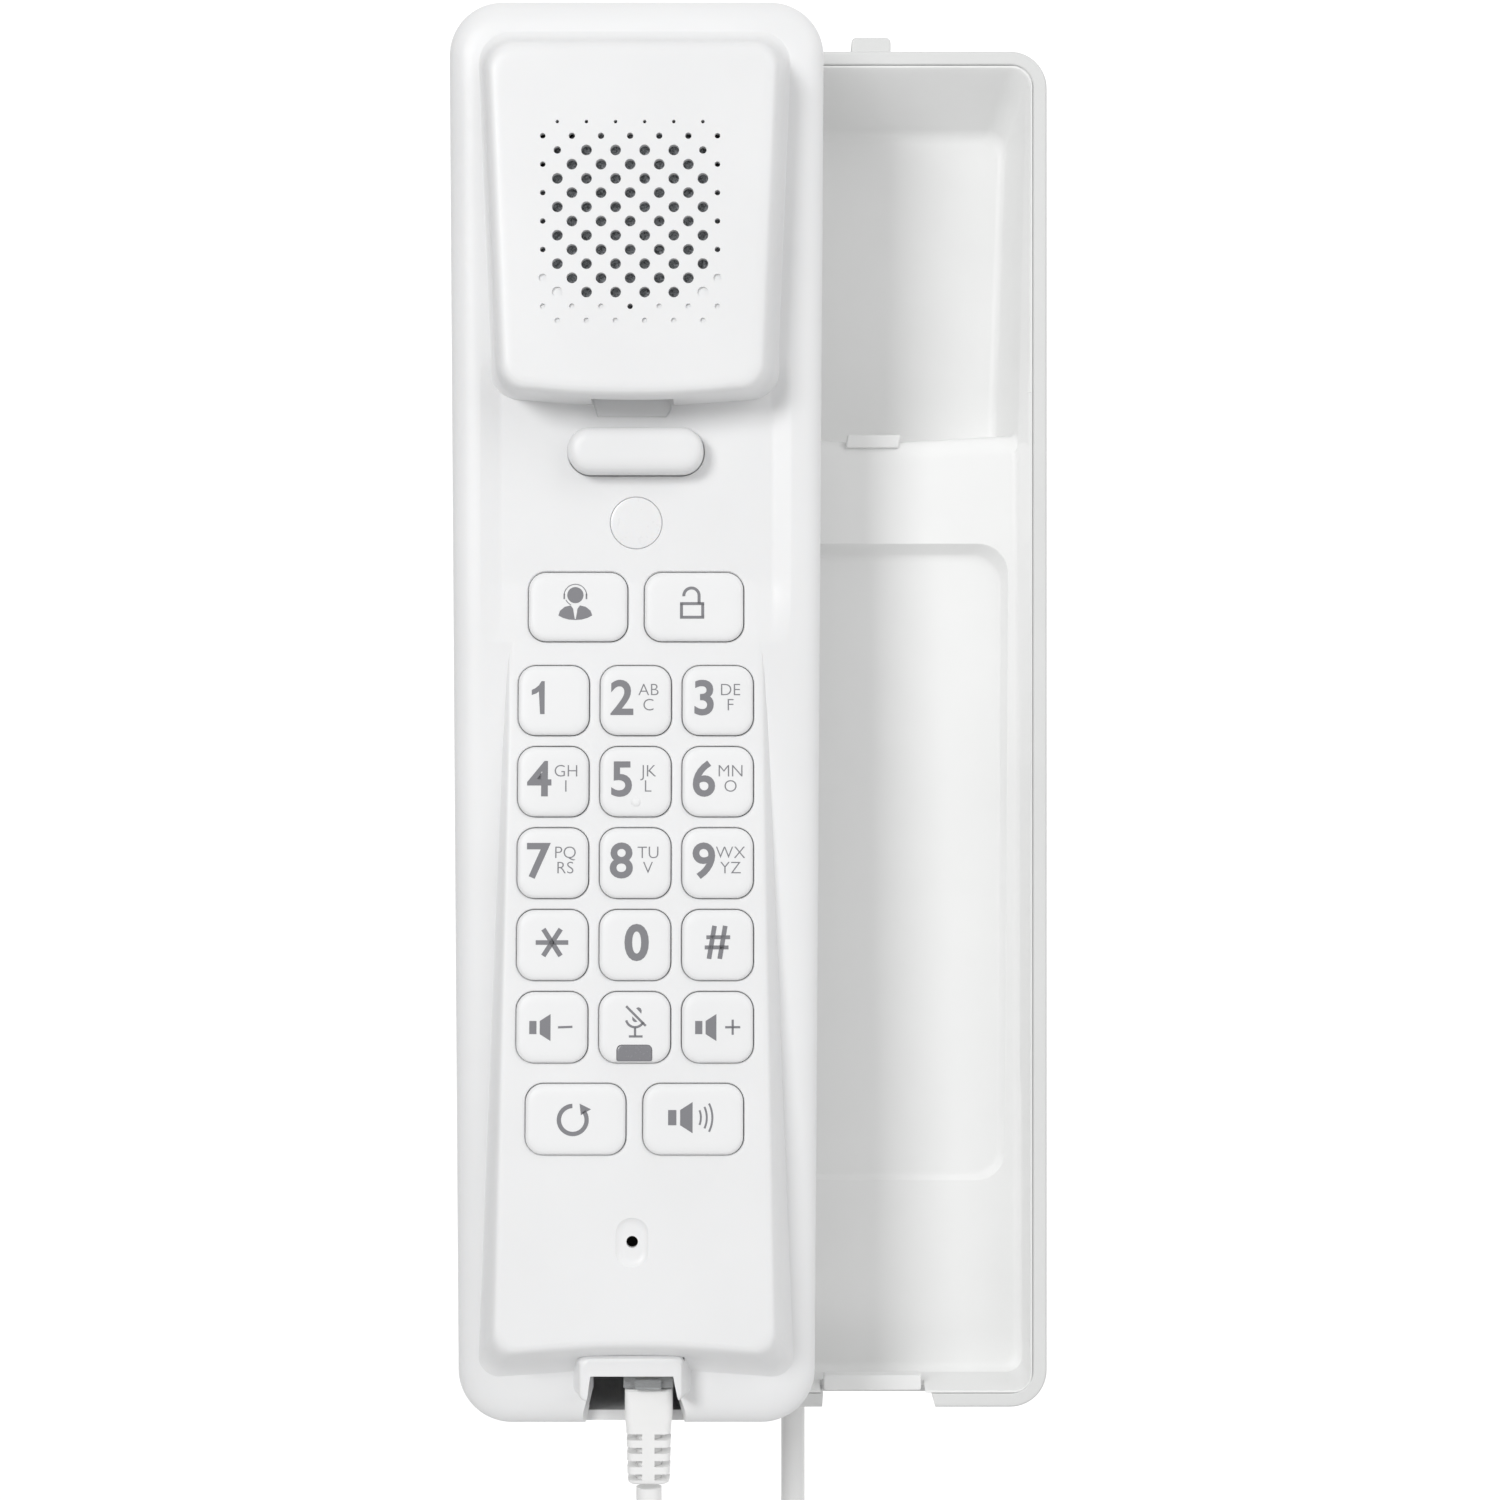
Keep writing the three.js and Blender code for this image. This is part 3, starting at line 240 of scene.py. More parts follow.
# ---------- mesh helpers ----------
def rounded(corners, radii, steps=14, straight=1):
    """A polygon with arcs at its corners; each straight side is split into so many equal runs."""
    radii = radii if isinstance(radii, (list, tuple)) else [radii] * len(corners)
    points = []
    for i, corner in enumerate(corners):
        here = Vector(corner)
        before = (Vector(corners[i - 1]) - here).normalized()
        after = (Vector(corners[(i + 1) % len(corners)]) - here).normalized()
        half = before.angle(after) / 2
        middle = here + (before + after).normalized() * radii[i] / math.sin(half)
        start = here + before * radii[i] / math.tan(half) - middle
        end = here + after * radii[i] / math.tan(half) - middle
        turn = math.atan2(start.x * end.y - start.y * end.x, start.dot(end))
        if points and straight > 1:
            last = Vector(points[-1])
            points += [tuple(last.lerp(middle + start, k / straight)) for k in range(1, straight)]
        for k in range(steps + 1):
            a = turn * k / steps
            points.append((middle.x + start.x * math.cos(a) - start.y * math.sin(a),
                           middle.y + start.x * math.sin(a) + start.y * math.cos(a)))
    if straight > 1:
        last, first = Vector(points[-1]), Vector(points[0])
        points += [tuple(last.lerp(first, k / straight)) for k in range(1, straight)]
    return points


def corners_of(x0, x1, z0, z1):
    return [(x0, z0), (x1, z0), (x1, z1), (x0, z1)]


def rectangle(x0, x1, z0, z1, radius, steps=8, straight=1):
    return rounded(corners_of(x0, x1, z0, z1), radius, steps, straight)


def circle(x, z, radius, sides=32):
    return [(x + radius * math.cos(TAU * k / sides), z + radius * math.sin(TAU * k / sides)) for k in range(sides)]


def on_handset(x, z, h):
    return HANDSET + Vector((x, -h, z)) * MM


def in_frame(x, z, y):
    return Vector((x, y, z)) * MM


def new_object(name, vertices, faces):
    mesh = bpy.data.meshes.new(name)
    mesh.from_pydata([tuple(v) for v in vertices], [], faces)
    work = bmesh.new()
    work.from_mesh(mesh)
    bmesh.ops.recalc_face_normals(work, faces=work.faces)
    work.to_mesh(mesh)
    work.free()
    obj = bpy.data.objects.new(name, mesh)
    bpy.context.collection.objects.link(obj)
    return obj


def ring_faces(rings, count):
    faces = [tuple(range(count)), tuple(range((rings - 1) * count, rings * count))]
    for ring in range(rings - 1):
        for i in range(count):
            a, b = ring * count + i, ring * count + (i + 1) % count
            faces.append((a, b, b + count, a + count))
    return faces


def loft(name, rings, place=on_handset):
    """One closed body through outlines at successive levels. A level is a number or a function of x and z."""
    vertices = []
    for outline, level in rings:
        vertices += [place(x, z, level(x, z) if callable(level) else level) for x, z in outline]
    return new_object(name, vertices, ring_faces(len(rings), len(rings[0][0])))


def field(name, xs, zs, low, high):
    """A closed body between two height fields over a grid."""
    columns = len(zs)
    vertices = [on_handset(x, z, f(x, z)) for f in (low, high) for x in xs for z in zs]
    size = len(xs) * columns
    faces = []
    for i in range(len(xs) - 1):
        for j in range(columns - 1):
            a = i * columns + j
            quad = (a, a + 1, a + columns + 1, a + columns)
            faces += [quad, tuple(v + size for v in quad)]
    edge = list(range(columns))
    edge += [i * columns + columns - 1 for i in range(1, len(xs))]
    edge += [(len(xs) - 1) * columns + j for j in range(columns - 2, -1, -1)]
    edge += [i * columns for i in range(len(xs) - 2, 0, -1)]
    for a, b in zip(edge, edge[1:] + edge[:1]):
        faces.append((a, b, b + size, a + size))
    return new_object(name, vertices, faces)


def spread(a, b, count):
    return [a + (b - a) * i / (count - 1) for i in range(count)]


def discs(name, circles, h0, h1, sides=20):
    """Round rods along the depth axis as one mesh: (x, z, diameter) each."""
    vertices, faces = [], []
    for x, z, diameter in circles:
        first = len(vertices)
        vertices += [on_handset(*point, h) for h in (h0, h1) for point in circle(x, z, diameter / 2, sides)]
        faces += [tuple(v + first for v in face) for face in ring_faces(2, sides)]
    return new_object(name, vertices, faces)


def turned(name, x, z, profile, sides=32, place=on_handset):
    """A round body along the depth axis from (radius, level) steps."""
    return loft(name, [(circle(x, z, radius, sides), level) for radius, level in profile], place)


def prism(name, outline, levels, place=on_handset):
    """One outline kept through all levels."""
    return loft(name, [(outline, level) for level in levels], place)


def shape(obj, *steps):
    """Cuts obj with other bodies, or joins those given as (operation, body), and keeps the result as its mesh."""
    steps = [step if isinstance(step, tuple) else ("DIFFERENCE", step) for step in steps]
    for operation, other in steps:
        modifier = obj.modifiers.new("shape", "BOOLEAN")
        modifier.operation = operation
        modifier.object = other
        modifier.solver = "MANIFOLD"
    result = bpy.data.meshes.new_from_object(obj.evaluated_get(bpy.context.evaluated_depsgraph_get()))
    obj.modifiers.clear()
    obj.data = result
    for _, other in steps:
        bpy.data.objects.remove(other)
    return obj


def joined(*bodies):
    return [("UNION", body) for body in bodies]


def finish_piece(obj, material, body, slot, *nodes, angle=32, weighted=True):
    """Sets the looks, the body that carries the piece and the CAD nodes that it replaces. The slot is not used."""
    mesh = obj.data
    mesh.materials.clear()
    mesh.materials.append(material)
    mesh.shade_smooth()
    mesh.set_sharp_from_angle(angle=math.radians(angle))
    if weighted:
        normals = obj.modifiers.new("normals", "WEIGHTED_NORMAL")
        normals.keep_sharp = True
    if body:
        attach(obj, body)
    if nodes:
        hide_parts(*nodes)


# ---------- cords ----------
BASE_LEAD = [(-12.8, -9.9, -112.3), (-12.8, -9.3, -120), (-12.8, -9.6, -130), (-12.9, -12, -142),
             (-13.1, -18.5, -156), (-13.4, -27, -170), (-13.6, -33, -182), (-13.6, -35, -191), (-13.6, -35, -196)]
HANDSET_LEAD = [(-35.8, -52.6, -117.8), (-35.8, -52.6, -124), (-35.8, -52.5, -131), (-35.8, -51.8, -138),
                (-35.8, -50.6, -145), (-35.8, -49.8, -149.7)]
COIL = [(-13.6, -35, -196.3), (-13.6, -35, -204), (-12.2, -35.2, -218), (-9.6, -36, -234), (-7.6, -37, -250),
        (-8.6, -38.2, -265), (-13.6, -39.6, -277), (-21, -41, -282), (-29, -42, -280), (-35.8, -42.6, -271),
        (-40, -42.8, -257), (-41.4, -42.8, -240), (-40.2, -42.6, -222), (-38, -43.2, -203), (-36.4, -44.6, -184),
        (-35.8, -46.7, -168), (-35.8, -49.75, -150)]
COIL_RADIUS = 3.5
COIL_SPACE = 0.35  # between turns
COIL_START = 6.0  # the wire runs from the straight lead into the coil over this length
CURVE_STEP = 0.25
BEND_REACH = 12  # curve points to each side over which a bend is measured
WIRE_STEP = 1.1


def curve_through(points, per_span=40):
    """A centripetal Catmull-Rom curve, sampled evenly along its length."""
    points = [Vector(p) for p in points]
    ends = [2 * points[0] - points[1]] + points + [2 * points[-1] - points[-2]]
    dense = []
    for i in range(1, len(ends) - 2):
        p = ends[i - 1:i + 3]
        t = [0.0]
        for a, b in zip(p, p[1:]):
            t.append(t[-1] + max((b - a).length, 1e-6) ** 0.5)
        for k in range(per_span):
            u = t[1] + (t[2] - t[1]) * k / per_span
            a = [p[j].lerp(p[j + 1], (u - t[j]) / (t[j + 1] - t[j])) for j in range(3)]
            b = [a[j].lerp(a[j + 1], (u - t[j]) / (t[j + 2] - t[j])) for j in range(2)]
            dense.append(b[0].lerp(b[1], (u - t[1]) / (t[2] - t[1])))
    dense.append(points[-1])
    return even(dense, CURVE_STEP)


def even(points, step):
    """The same line with points a fixed step apart."""
    lengths = [0.0]
    for a, b in zip(points, points[1:]):
        lengths.append(lengths[-1] + (b - a).length)
    count = max(2, round(lengths[-1] / step) + 1)
    result, at = [], 0
    for k in range(count):
        target = lengths[-1] * k / (count - 1)
        while at < len(lengths) - 2 and lengths[at + 1] < target:
            at += 1
        run = lengths[at + 1] - lengths[at] or 1.0
        result.append(points[at].lerp(points[at + 1], (target - lengths[at]) / run))
    return result


def frames_along(points):
    """A direction and two sideways axes at each point, carried along without twist."""
    result = []
    side = Vector((1, 0, 0))
    for i in range(len(points)):
        ahead = (points[min(i + 1, len(points) - 1)] - points[max(i - 1, 0)]).normalized()
        side = (side - ahead * side.dot(ahead)).normalized()
        result.append((ahead, side, ahead.cross(side)))
    return result


def coiled(centre, step):
    """The wire's own line: straight along the leads, and wound round the centre line between them."""
    frames = frames_along(centre)
    base_lead, handset_lead = (even([Vector(p) for p in lead], step) for lead in (BASE_LEAD, HANDSET_LEAD))
    first = len(base_lead)
    last = len(centre) - len(handset_lead)
    wire, angle = [], 0.0
    for i, (point, (ahead, side, up)) in enumerate(zip(centre, frames)):
        before, after = frames[max(i - BEND_REACH, 0)][0], frames[min(i + BEND_REACH, len(frames) - 1)][0]
        bend = before.angle(after, 0.0) / (2 * BEND_REACH * step)
        run = min(i - first, last - i) * step
        radius = COIL_RADIUS * smooth(0, COIL_START, run)
        wire.append(point + (side * math.cos(angle) + up * math.sin(angle)) * radius)
        if run > 0:
            angle += TAU * step / ((CORD + COIL_SPACE) / (1 - COIL_RADIUS * bend))
    return wire


def tube(name, path, diameter, sides=14):
    """A round tube with closed ends along a path in millimetres."""
    vertices = []
    for point, (_, side, up) in zip(path, frames_along(path)):
        for k in range(sides):
            a = TAU * k / sides
            vertices.append((point + (side * math.cos(a) + up * math.sin(a)) * diameter / 2) * MM)
    return new_object(name, vertices, ring_faces(len(path), sides))


def make_cords():
    centre = curve_through(BASE_LEAD + COIL[1:-1] + HANDSET_LEAD[::-1])
    wire = coiled(centre, (centre[1] - centre[0]).length)
    lowest = min(range(len(centre)), key=lambda i: centre[i].z)
    base_half = even(wire[:lowest + 1], WIRE_STEP)
    handset_half = even(wire[lowest:], WIRE_STEP)
    plan = (
        ("cord_to_base", base_half, base_half[0], ("base", "handset_cord"), ((0, 0, -0.116), (0, 0, -0.215)),
         ("base_lead", "cord_coil")),
        ("cord_to_handset", handset_half, handset_half[-1], ("handset_cord", "handset"),
         ((0, 0, -0.16), (0, 0, -0.125)), ("handset_lead",)),
    )
    for name, path, end, bodies, (start, stop), nodes in plan:
        piece = tube(name, path, CORD)
        finish_piece(piece, CORD_WHITE, None, "cord_plastic", *nodes, angle=60, weighted=False)
        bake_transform(piece)


make_cords()


# ---------- stage ----------
def make_stage():
    """White surroundings, two area lights and a floor. The surroundings are bright behind the phone, dimmer in
    front of it, and dimmer still to the left and below."""
    world = bpy.data.worlds.new("studio")
    world.use_nodes = True
    nodes, links = world.node_tree.nodes, world.node_tree.links
    background = nodes["Background"]
    background.inputs["Color"].default_value = (1, 1, 1, 1)
    split = nodes.new("ShaderNodeSeparateXYZ")
    links.new(nodes.new("ShaderNodeTexCoord").outputs["Generated"], split.inputs["Vector"])
    total = None
    for axis, easing, *span in (("Y", "SMOOTHSTEP", 0.3, 0.85, 0.0, 0.62), ("X", "LINEAR", -1, 1, 0.3, 0.78),
                                ("Z", "LINEAR", -1, 1, -0.12, 0.12)):
        part = nodes.new("ShaderNodeMapRange")
        part.interpolation_type = easing
        for socket, value in zip(("From Min", "From Max", "To Min", "To Max"), span):
            part.inputs[socket].default_value = value
        links.new(split.outputs[axis], part.inputs["Value"])
        if total is None:
            total = part.outputs["Result"]
            continue
        both = nodes.new("ShaderNodeMath")
        links.new(total, both.inputs[0])
        links.new(part.outputs["Result"], both.inputs[1])
        total = both.outputs["Value"]
    links.new(total, background.inputs["Strength"])
    bpy.context.scene.world = world
    for name, where, size, power in (("key_light", (-0.6, -1.15, 0.42), 0.42, 8.2),
                                     ("fill_light", (0.85, -1.0, 0.7), 1.0, 3.2)):
        data = bpy.data.lights.new(name, "AREA")
        data.size = size
        data.energy = power
        light = bpy.data.objects.new(name, data)
        light.location = where
        light.rotation_euler = (-Vector(where)).to_track_quat("-Z", "Y").to_euler()
        bpy.context.collection.objects.link(light)
    bpy.ops.mesh.primitive_circle_add(vertices=96, radius=0.6, fill_type="NGON", location=(0, 0, -0.45))
    floor = bpy.context.object
    floor.name = "floor"
    floor.data.materials.append(plastic("floor_paint", (0.8, 0.8, 0.8), 0.8, grain=60))
    bpy.context.scene.view_settings.view_transform = "Standard"


make_stage()


# ---------- handset shells ----------
def handset_outline(inset, steps=20, straight=24):
    top, bottom, end = HALF_TOP - inset, HALF_BOTTOM - inset, HALF_LENGTH - inset
    return rounded([(-bottom, -end), (bottom, -end), (top, end), (-top, end)],
                   max(CORNER - 0.6 * inset, 1.5), steps, straight)


def ear_outline(side, top, low):
    upper, lower = EAR_TOP + top, EAR_BOTTOM - low
    wide, narrow = EAR_HALF_TOP + side, EAR_HALF_BOTTOM + side
    radius = max(3.8 + 0.5 * side, 1.2)
    points = rounded([(-narrow, lower), (0, lower - EAR_SAG), (narrow, lower), (wide, upper), (-wide, upper)],
                     [radius, 150, radius, radius, radius], 16, 6)
    return [(x - 0.2, z) for x, z in points]


def ear_block(name, inset, low_level):
    profile = [(3.3, 5.3, 0.5, low_level), (2.6, 4.7, 0.5, 2.9), (2.05, 3.9, 0.45, 3.4), (1.65, 3.1, 0.4, 4.5),
               (1.3, 2.3, 0.35, 6.5), (1.0, 1.6, 0.3, 9.0), (0.75, 1.05, 0.25, 11.0), (0.5, 0.65, 0.15, 11.9),
               (0.15, 0.2, -0.1, 12.5), (-0.3, -0.35, -0.45, 12.82), (-0.9, -1.0, -1.0, 12.97),
               (-1.7, -1.9, -1.8, EARPIECE_HEIGHT)]
    return loft(name, [(ear_outline(s - inset, t - inset, b - inset), h if i == 0 else h - inset)
                       for i, (s, t, b, h) in enumerate(profile)])


def face_outline(side, end, inset=0.0):
    head = SLOPE_START - (RIM_HEIGHT - VALLEY) / KEY_SLOPE + 1
    wide, narrow = FACE_HALF_BOTTOM + side - inset, FACE_HALF_TOP + 0.45 * side - inset
    low, arch = CHIN + 0.4 - end + inset, 1.7
    return rounded([(-wide, low), (0, low + arch), (wide, low), (narrow, head), (-narrow, head)],
                   [3.2, 150, 3.2, 0.5, 0.5], 14, 8)


def face_block(name, inset, foot):
    """The raised key face. Its flanks sweep up from the rim, and its edge is rounded."""
    profile = [(0.0, 3.6, 6.6), (0.1, 2.9, 5.2), (0.22, 2.35, 4.1), (0.4, 1.85, 3.1), (0.6, 1.4, 2.2),
               (0.78, 0.95, 1.45), (0.9, 0.55, 0.8), (0.96, 0.2, 0.3), (0.99, -0.2, -0.2), (1.0, -0.8, -0.9)]
    rings = []
    for share, side, end in profile:
        rings.append((face_outline(side, end, inset),
                      lambda x, z, share=share: foot + (max(face_height(z) - inset, foot) - foot) * share))
    return loft(name, rings)


def valley_cut():
    """The shallow valley between the earpiece and the keys, with soft sides."""
    top = RIM_HEIGHT + 0.02
    end = SLOPE_START - (RIM_HEIGHT - VALLEY) / KEY_SLOPE

    def floor(x, z):
        depth = top - min(top, face_height(z))
        slope = min(1.0, max(0.0, (24.3 - abs(x)) / 3.1))
        return top - depth * slope * (1 - smooth(50, 56, z))
    return field("valley", spread(-24.8, 24.8, 125), spread(end - 2, 58, 61), floor, lambda x, z: 6.0)


KEYS = [("operator", -WIDE_OFFSET, UPPER_ROW, WIDE_KEY), ("unlock", WIDE_OFFSET, UPPER_ROW, WIDE_KEY)]
ROWS = (("1", "2", "3"), ("4", "5", "6"), ("7", "8", "9"), ("star", "0", "hash"),
        ("volume_down", "mute", "volume_up"))
for row, names in enumerate(ROWS):
    KEYS += [(n, (column - 1) * PITCH_X, FIRST_ROW - row * PITCH_Z, KEY) for column, n in enumerate(names)]
KEYS += [("redial", -WIDE_OFFSET, LOWER_ROW, WIDE_KEY), ("speaker", WIDE_OFFSET, LOWER_ROW, WIDE_KEY)]


def on_face(rise):
    return lambda x, z: VALLEY + KEY_SLOPE * (SLOPE_START - z) + rise


def key_outline(x, z, size, grow, steps=8, corner_share=1.0):
    width, height = size[0] / 2 + grow, size[1] / 2 + grow
    return rectangle(x - width, x + width, z - height, z + height, max(KEY_CORNER + corner_share * grow, 0.5),
                     steps)


def plunger_outline(grow, radius, steps):
    return rectangle(-PLUNGER_HALF - grow, PLUNGER_HALF + grow, PLUNGER_LOW - grow, PLUNGER_HIGH + grow,
                     max(radius + grow, 0.6), steps)


def grille():
    """Fifteen staggered rows of (x, z, diameter, open). Outer holes are smaller, and those at the foot blind."""
    big, medium, small, tiny = 1.65, 1.15, 0.85, 0.55
    holes = []
    for row in range(15):
        count = 7 if row % 2 else 6
        for column in range(count):
            outer = column in (0, count - 1)
            x = GRILLE_X + (column - (count - 1) / 2) * GRILLE_STEP
            z = GRILLE_Z + (7 - row) * GRILLE_STEP * 0.488
            is_open = row < 11 or (row in (11, 12) and not outer) or (row == 13 and column == 3)
            if row in (0, 14):
                size = tiny if row == 0 else small
            elif row in (1, 13):
                size = small if outer or row == 13 else medium * 0.85
            elif row % 2:
                size = small if outer and is_open else big if is_open else 1.25
            else:
                size = medium if outer and row == 2 else big
            holes.append((x, z, size, is_open))
    return holes


def jack_opening(grow, h):
    """The notch in the chin's rim for the cord: it flares towards the bottom edge."""
    foot, shoulder = -HALF_LENGTH - 1, JACK_MOUTH - 3.2
    return [(-9.1 - grow, foot), (8.7 + grow, foot), (6.5 + grow * 0.6, shoulder), (5.9 + grow * 0.2, JACK_MOUTH),
            (-6.8 - grow * 0.2, JACK_MOUTH), (-7.2 - grow * 0.6, shoulder)], h


def front_shell():
    rim = [(0.25, 0.15), (0.0, 0.35), (0.22, 1.0), (0.7, 1.62), (1.35, 2.15), (2.05, 2.52), (2.6, 2.7),
           (3.2, 2.86), (4.0, 2.97), (5.0, RIM_HEIGHT)]
    body = loft("handset_front", [(handset_outline(i), h) for i, h in rim])
    shape(body, valley_cut())
    lip = loft("lip", [(rectangle(-8.7 + g, 7.5 - g, JACK_MOUTH - 4, JACK_MOUTH + 3.0 - g, 1.4, 6), h)
                       for g, h in ((-1.2, 2.5), (-0.6, 4.2), (-0.25, 6.2), (0.0, 7.6), (0.35, 8.1), (0.9, 8.35))])
    shape(body, *joined(ear_block("ear", 0, 2.0), face_block("face", 0, 2.4), lip))
    inner = loft("inner", [(handset_outline(WALL), -1), (handset_outline(WALL + 1.2), VALLEY - 1.4)])
    room = prism("key_room", rectangle(-19.3, 19.3, -69.3, 23.2, 2, 4), (0, on_face(-WALL)))
    shape(body, inner, ear_block("ear_inner", WALL, 0.0), face_block("face_inner", WALL, 0.0), room)
    cuts = [loft("window", [(key_outline(x, z, size, KEY_GAP + g), on_face(h))
                            for g, h in ((0, -5), (0, -0.15), (0.17, 0.02), (0.17, 3))]) for _, x, z, size in KEYS]
    holes = grille()
    cuts.append(discs("holes", [hole[:3] for hole in holes if hole[3]], 10, 14))
    cuts.append(discs("dimples", [hole[:3] for hole in holes if not hole[3]], 12.6, 14))
    cuts.append(loft("slot", [(plunger_outline(g, 3.5, 10), h)
                              for g, h in ((0.13, -1), (0.13, 2.05), (0.3, 2.22), (0.3, 5))]))
    cuts.append(turned("lens_hole", 0, LENS_Z, [(4.06, -1), (4.06, 2.1), (4.16, 2.2), (4.16, 5)], 64))
    cuts.append(turned("mic_hole", -0.3, -81, [(0.9, 4), (0.9, 15)], 28))
    pocket_floor = rounded([(-5.9, 46.0), (4.6, 46.0), (5.2, 47.0), (5.2, 48.9), (-6.8, 48.9)], 0.25, 3)
    pocket = rounded([(-6.3, 45.6), (4.9, 45.6), (5.9, 46.9), (5.9, 49.0), (-7.0, 49.0)], 0.25, 3)
    cuts.append(loft("pocket", [(pocket_floor, 1.85), (pocket, 2.6), (pocket, 8)]))
    cuts.append(loft("opening", [jack_opening(g, h) for g, h in ((-0.9, -1), (-0.9, 0.6), (0.0, 2.6), (0.2, 14))]))
    shape(body, *cuts)
    dimple = loft("mic_dimple", [(rectangle(-2.9 + g, 2.3 - g, -84.9 + g, -77.2 - g, 2.5 - g, 10), on_face(r))
                                 for g, r in ((1.3, -0.42), (0.9, -0.38), (0.5, -0.25), (0.2, -0.08), (0.0, 0.08),
                                              (-0.1, 1.0))])
    shape(body, dimple)
    finish_piece(body, HANDSET_WHITE, "handset", "handset_plastic", "handset_front_shell", angle=28)


front_shell()


def rear_shell():
    profile = [(0.25, -0.15), (0.0, -0.4), (0.02, -2.5), (0.18, -4.5), (0.5, -7.0), (1.05, -9.5), (1.9, -11.8),
               (3.1, -13.9), (4.6, -15.6), (6.2, -16.8), (7.8, -17.5), (9.6, -17.9), (12.0, -REAR_DEPTH)]
    body = loft("handset_rear", [(handset_outline(i), h) for i, h in profile])
    inside = loft("inside", [(handset_outline(max(i, 0) + WALL), h + (WALL if h < -1 else 1.5))
                             for i, h in profile if h > -17.6])
    way = prism("way", [(-9.4, -HALF_LENGTH - 1), (9.0, -HALF_LENGTH - 1), (6.4, JACK_MOUTH - 2),
                        (-7.3, JACK_MOUTH - 2)], (-0.9, 1))
    well = [(3.0, -REAR_DEPTH - 1), (3.0, -REAR_DEPTH + 3.2), (2.9, -REAR_DEPTH + 3.2)]
    wells = [turned("well", 0, z, well, 40) for z in SCREW_ROWS]
    bosses = [turned("boss", 0, z, [(4.4, -9.2), (4.4, -REAR_DEPTH + 1)], 40) for z in SCREW_ROWS]
    shape(body, inside, *joined(*bosses), way, *wells)
    finish_piece(body, HANDSET_WHITE, "handset", "handset_plastic", "handset_rear_shell", angle=28)


rear_shell()

# ---------- keys and their printed legends ----------
LEGEND_TOP = KEY_RISE + 0.025
LEGEND_LOW = KEY_RISE - 0.15
LAMP_WINDOW = (-2.75, 2.75, -5.1, -2.55)  # in the mute key, from its centre
DIGIT, LETTER = 5.1, 1.8  # heights
CAPITAL = 0.682  # height of a capital in the built-in font at size 1


def key_cap(name, x, z, size):
    profile = [(-0.55, -3.0), (-0.55, -2.2), (0.0, -2.15), (0.0, 0.3), (0.07, 0.52), (0.22, 0.72), (0.45, 0.86),
               (0.8, 0.95), (1.3, 0.99), (2.0, KEY_RISE)]
    cap = loft("cap_" + name, [(key_outline(x, z, size, -i, 10, 0.7), on_face(h)) for i, h in profile])
    if name == "mute":
        x0, x1, z0, z1 = LAMP_WINDOW

        def window(inset):
            return rectangle(x + x0 + inset, x + x1 - inset, z + z0 + inset, z + z1 - inset,
                             [0.3, 0.3, 0.8, 0.8], 5)
        shape(cap, prism("room", window(0), (on_face(-0.2), on_face(3))))
        lamp = loft("lamp_window", [(window(0.04 + i), on_face(h))
                                    for i, h in ((0, -0.2), (0, 0.86), (0.1, 0.95), (0.3, 0.98))])
        finish_piece(lamp, LAMP_GREY, "key_mute", "lamp_window", "mute_lamp_window")
    finish_piece(cap, KEY_WHITE, "key_" + name, "key_plastic", "key_" + name, angle=40)


def glyphs(text, dx, dz, height, weight):
    """Letters as a flat mesh: vertices as (x, z, is_top) about the key's centre, and faces."""
    curve = bpy.data.curves.new("text", "FONT")
    curve.body = text
    curve.extrude = 1
    curve.offset = weight
    curve.resolution_u = 5
    obj = bpy.data.objects.new("text", curve)
    bpy.context.collection.objects.link(obj)
    mesh = bpy.data.meshes.new_from_object(obj.evaluated_get(bpy.context.evaluated_depsgraph_get()))
    bpy.data.objects.remove(obj)
    xs = [v.co.x for v in mesh.vertices]
    scale = height / CAPITAL
    middle = (max(xs) + min(xs)) / 2
    points = [(dx + (v.co.x - middle) * scale, dz + (v.co.y - CAPITAL / 2) * scale, v.co.z > 0)
              for v in mesh.vertices]
    return points, [tuple(p.vertices) for p in mesh.polygons]


def flat(points):
    """A printed patch from one outline."""
    return [(x, z, top) for top in (False, True) for x, z in points], ring_faces(2, len(points))


def bar(x0, z0, x1, z1, width):
    along = Vector((x1 - x0, z1 - z0)).normalized() * width / 2
    dx, dz = -along.y, along.x
    return flat([(x0 - dx, z0 - dz), (x1 - dx, z1 - dz), (x1 + dx, z1 + dz), (x0 + dx, z0 + dz)])


def arc(x, z, radius, width, start, end, steps=28):
    turns = [math.radians(start + (end - start) * k / steps) for k in range(steps + 1)]
    out, back = radius + width / 2, radius - width / 2
    return flat([(x + out * math.cos(a), z + out * math.sin(a)) for a in turns]
                + [(x + back * math.cos(a), z + back * math.sin(a)) for a in reversed(turns)])


def dot(x, z, radius):
    return flat(circle(x, z, radius))


def horn(x, z, grow=1.0):
    """The loudspeaker sign: a block and a cone."""
    block = [(-3.4, -1), (-2.3, -1), (-2.3, 1), (-3.4, 1)]
    cone = [(-1.8, -1), (-0.15, -2.05), (-0.15, 2.05), (-1.8, 1)]
    return [flat([(x + a * grow, z + b * grow) for a, b in outline]) for outline in (block, cone)]


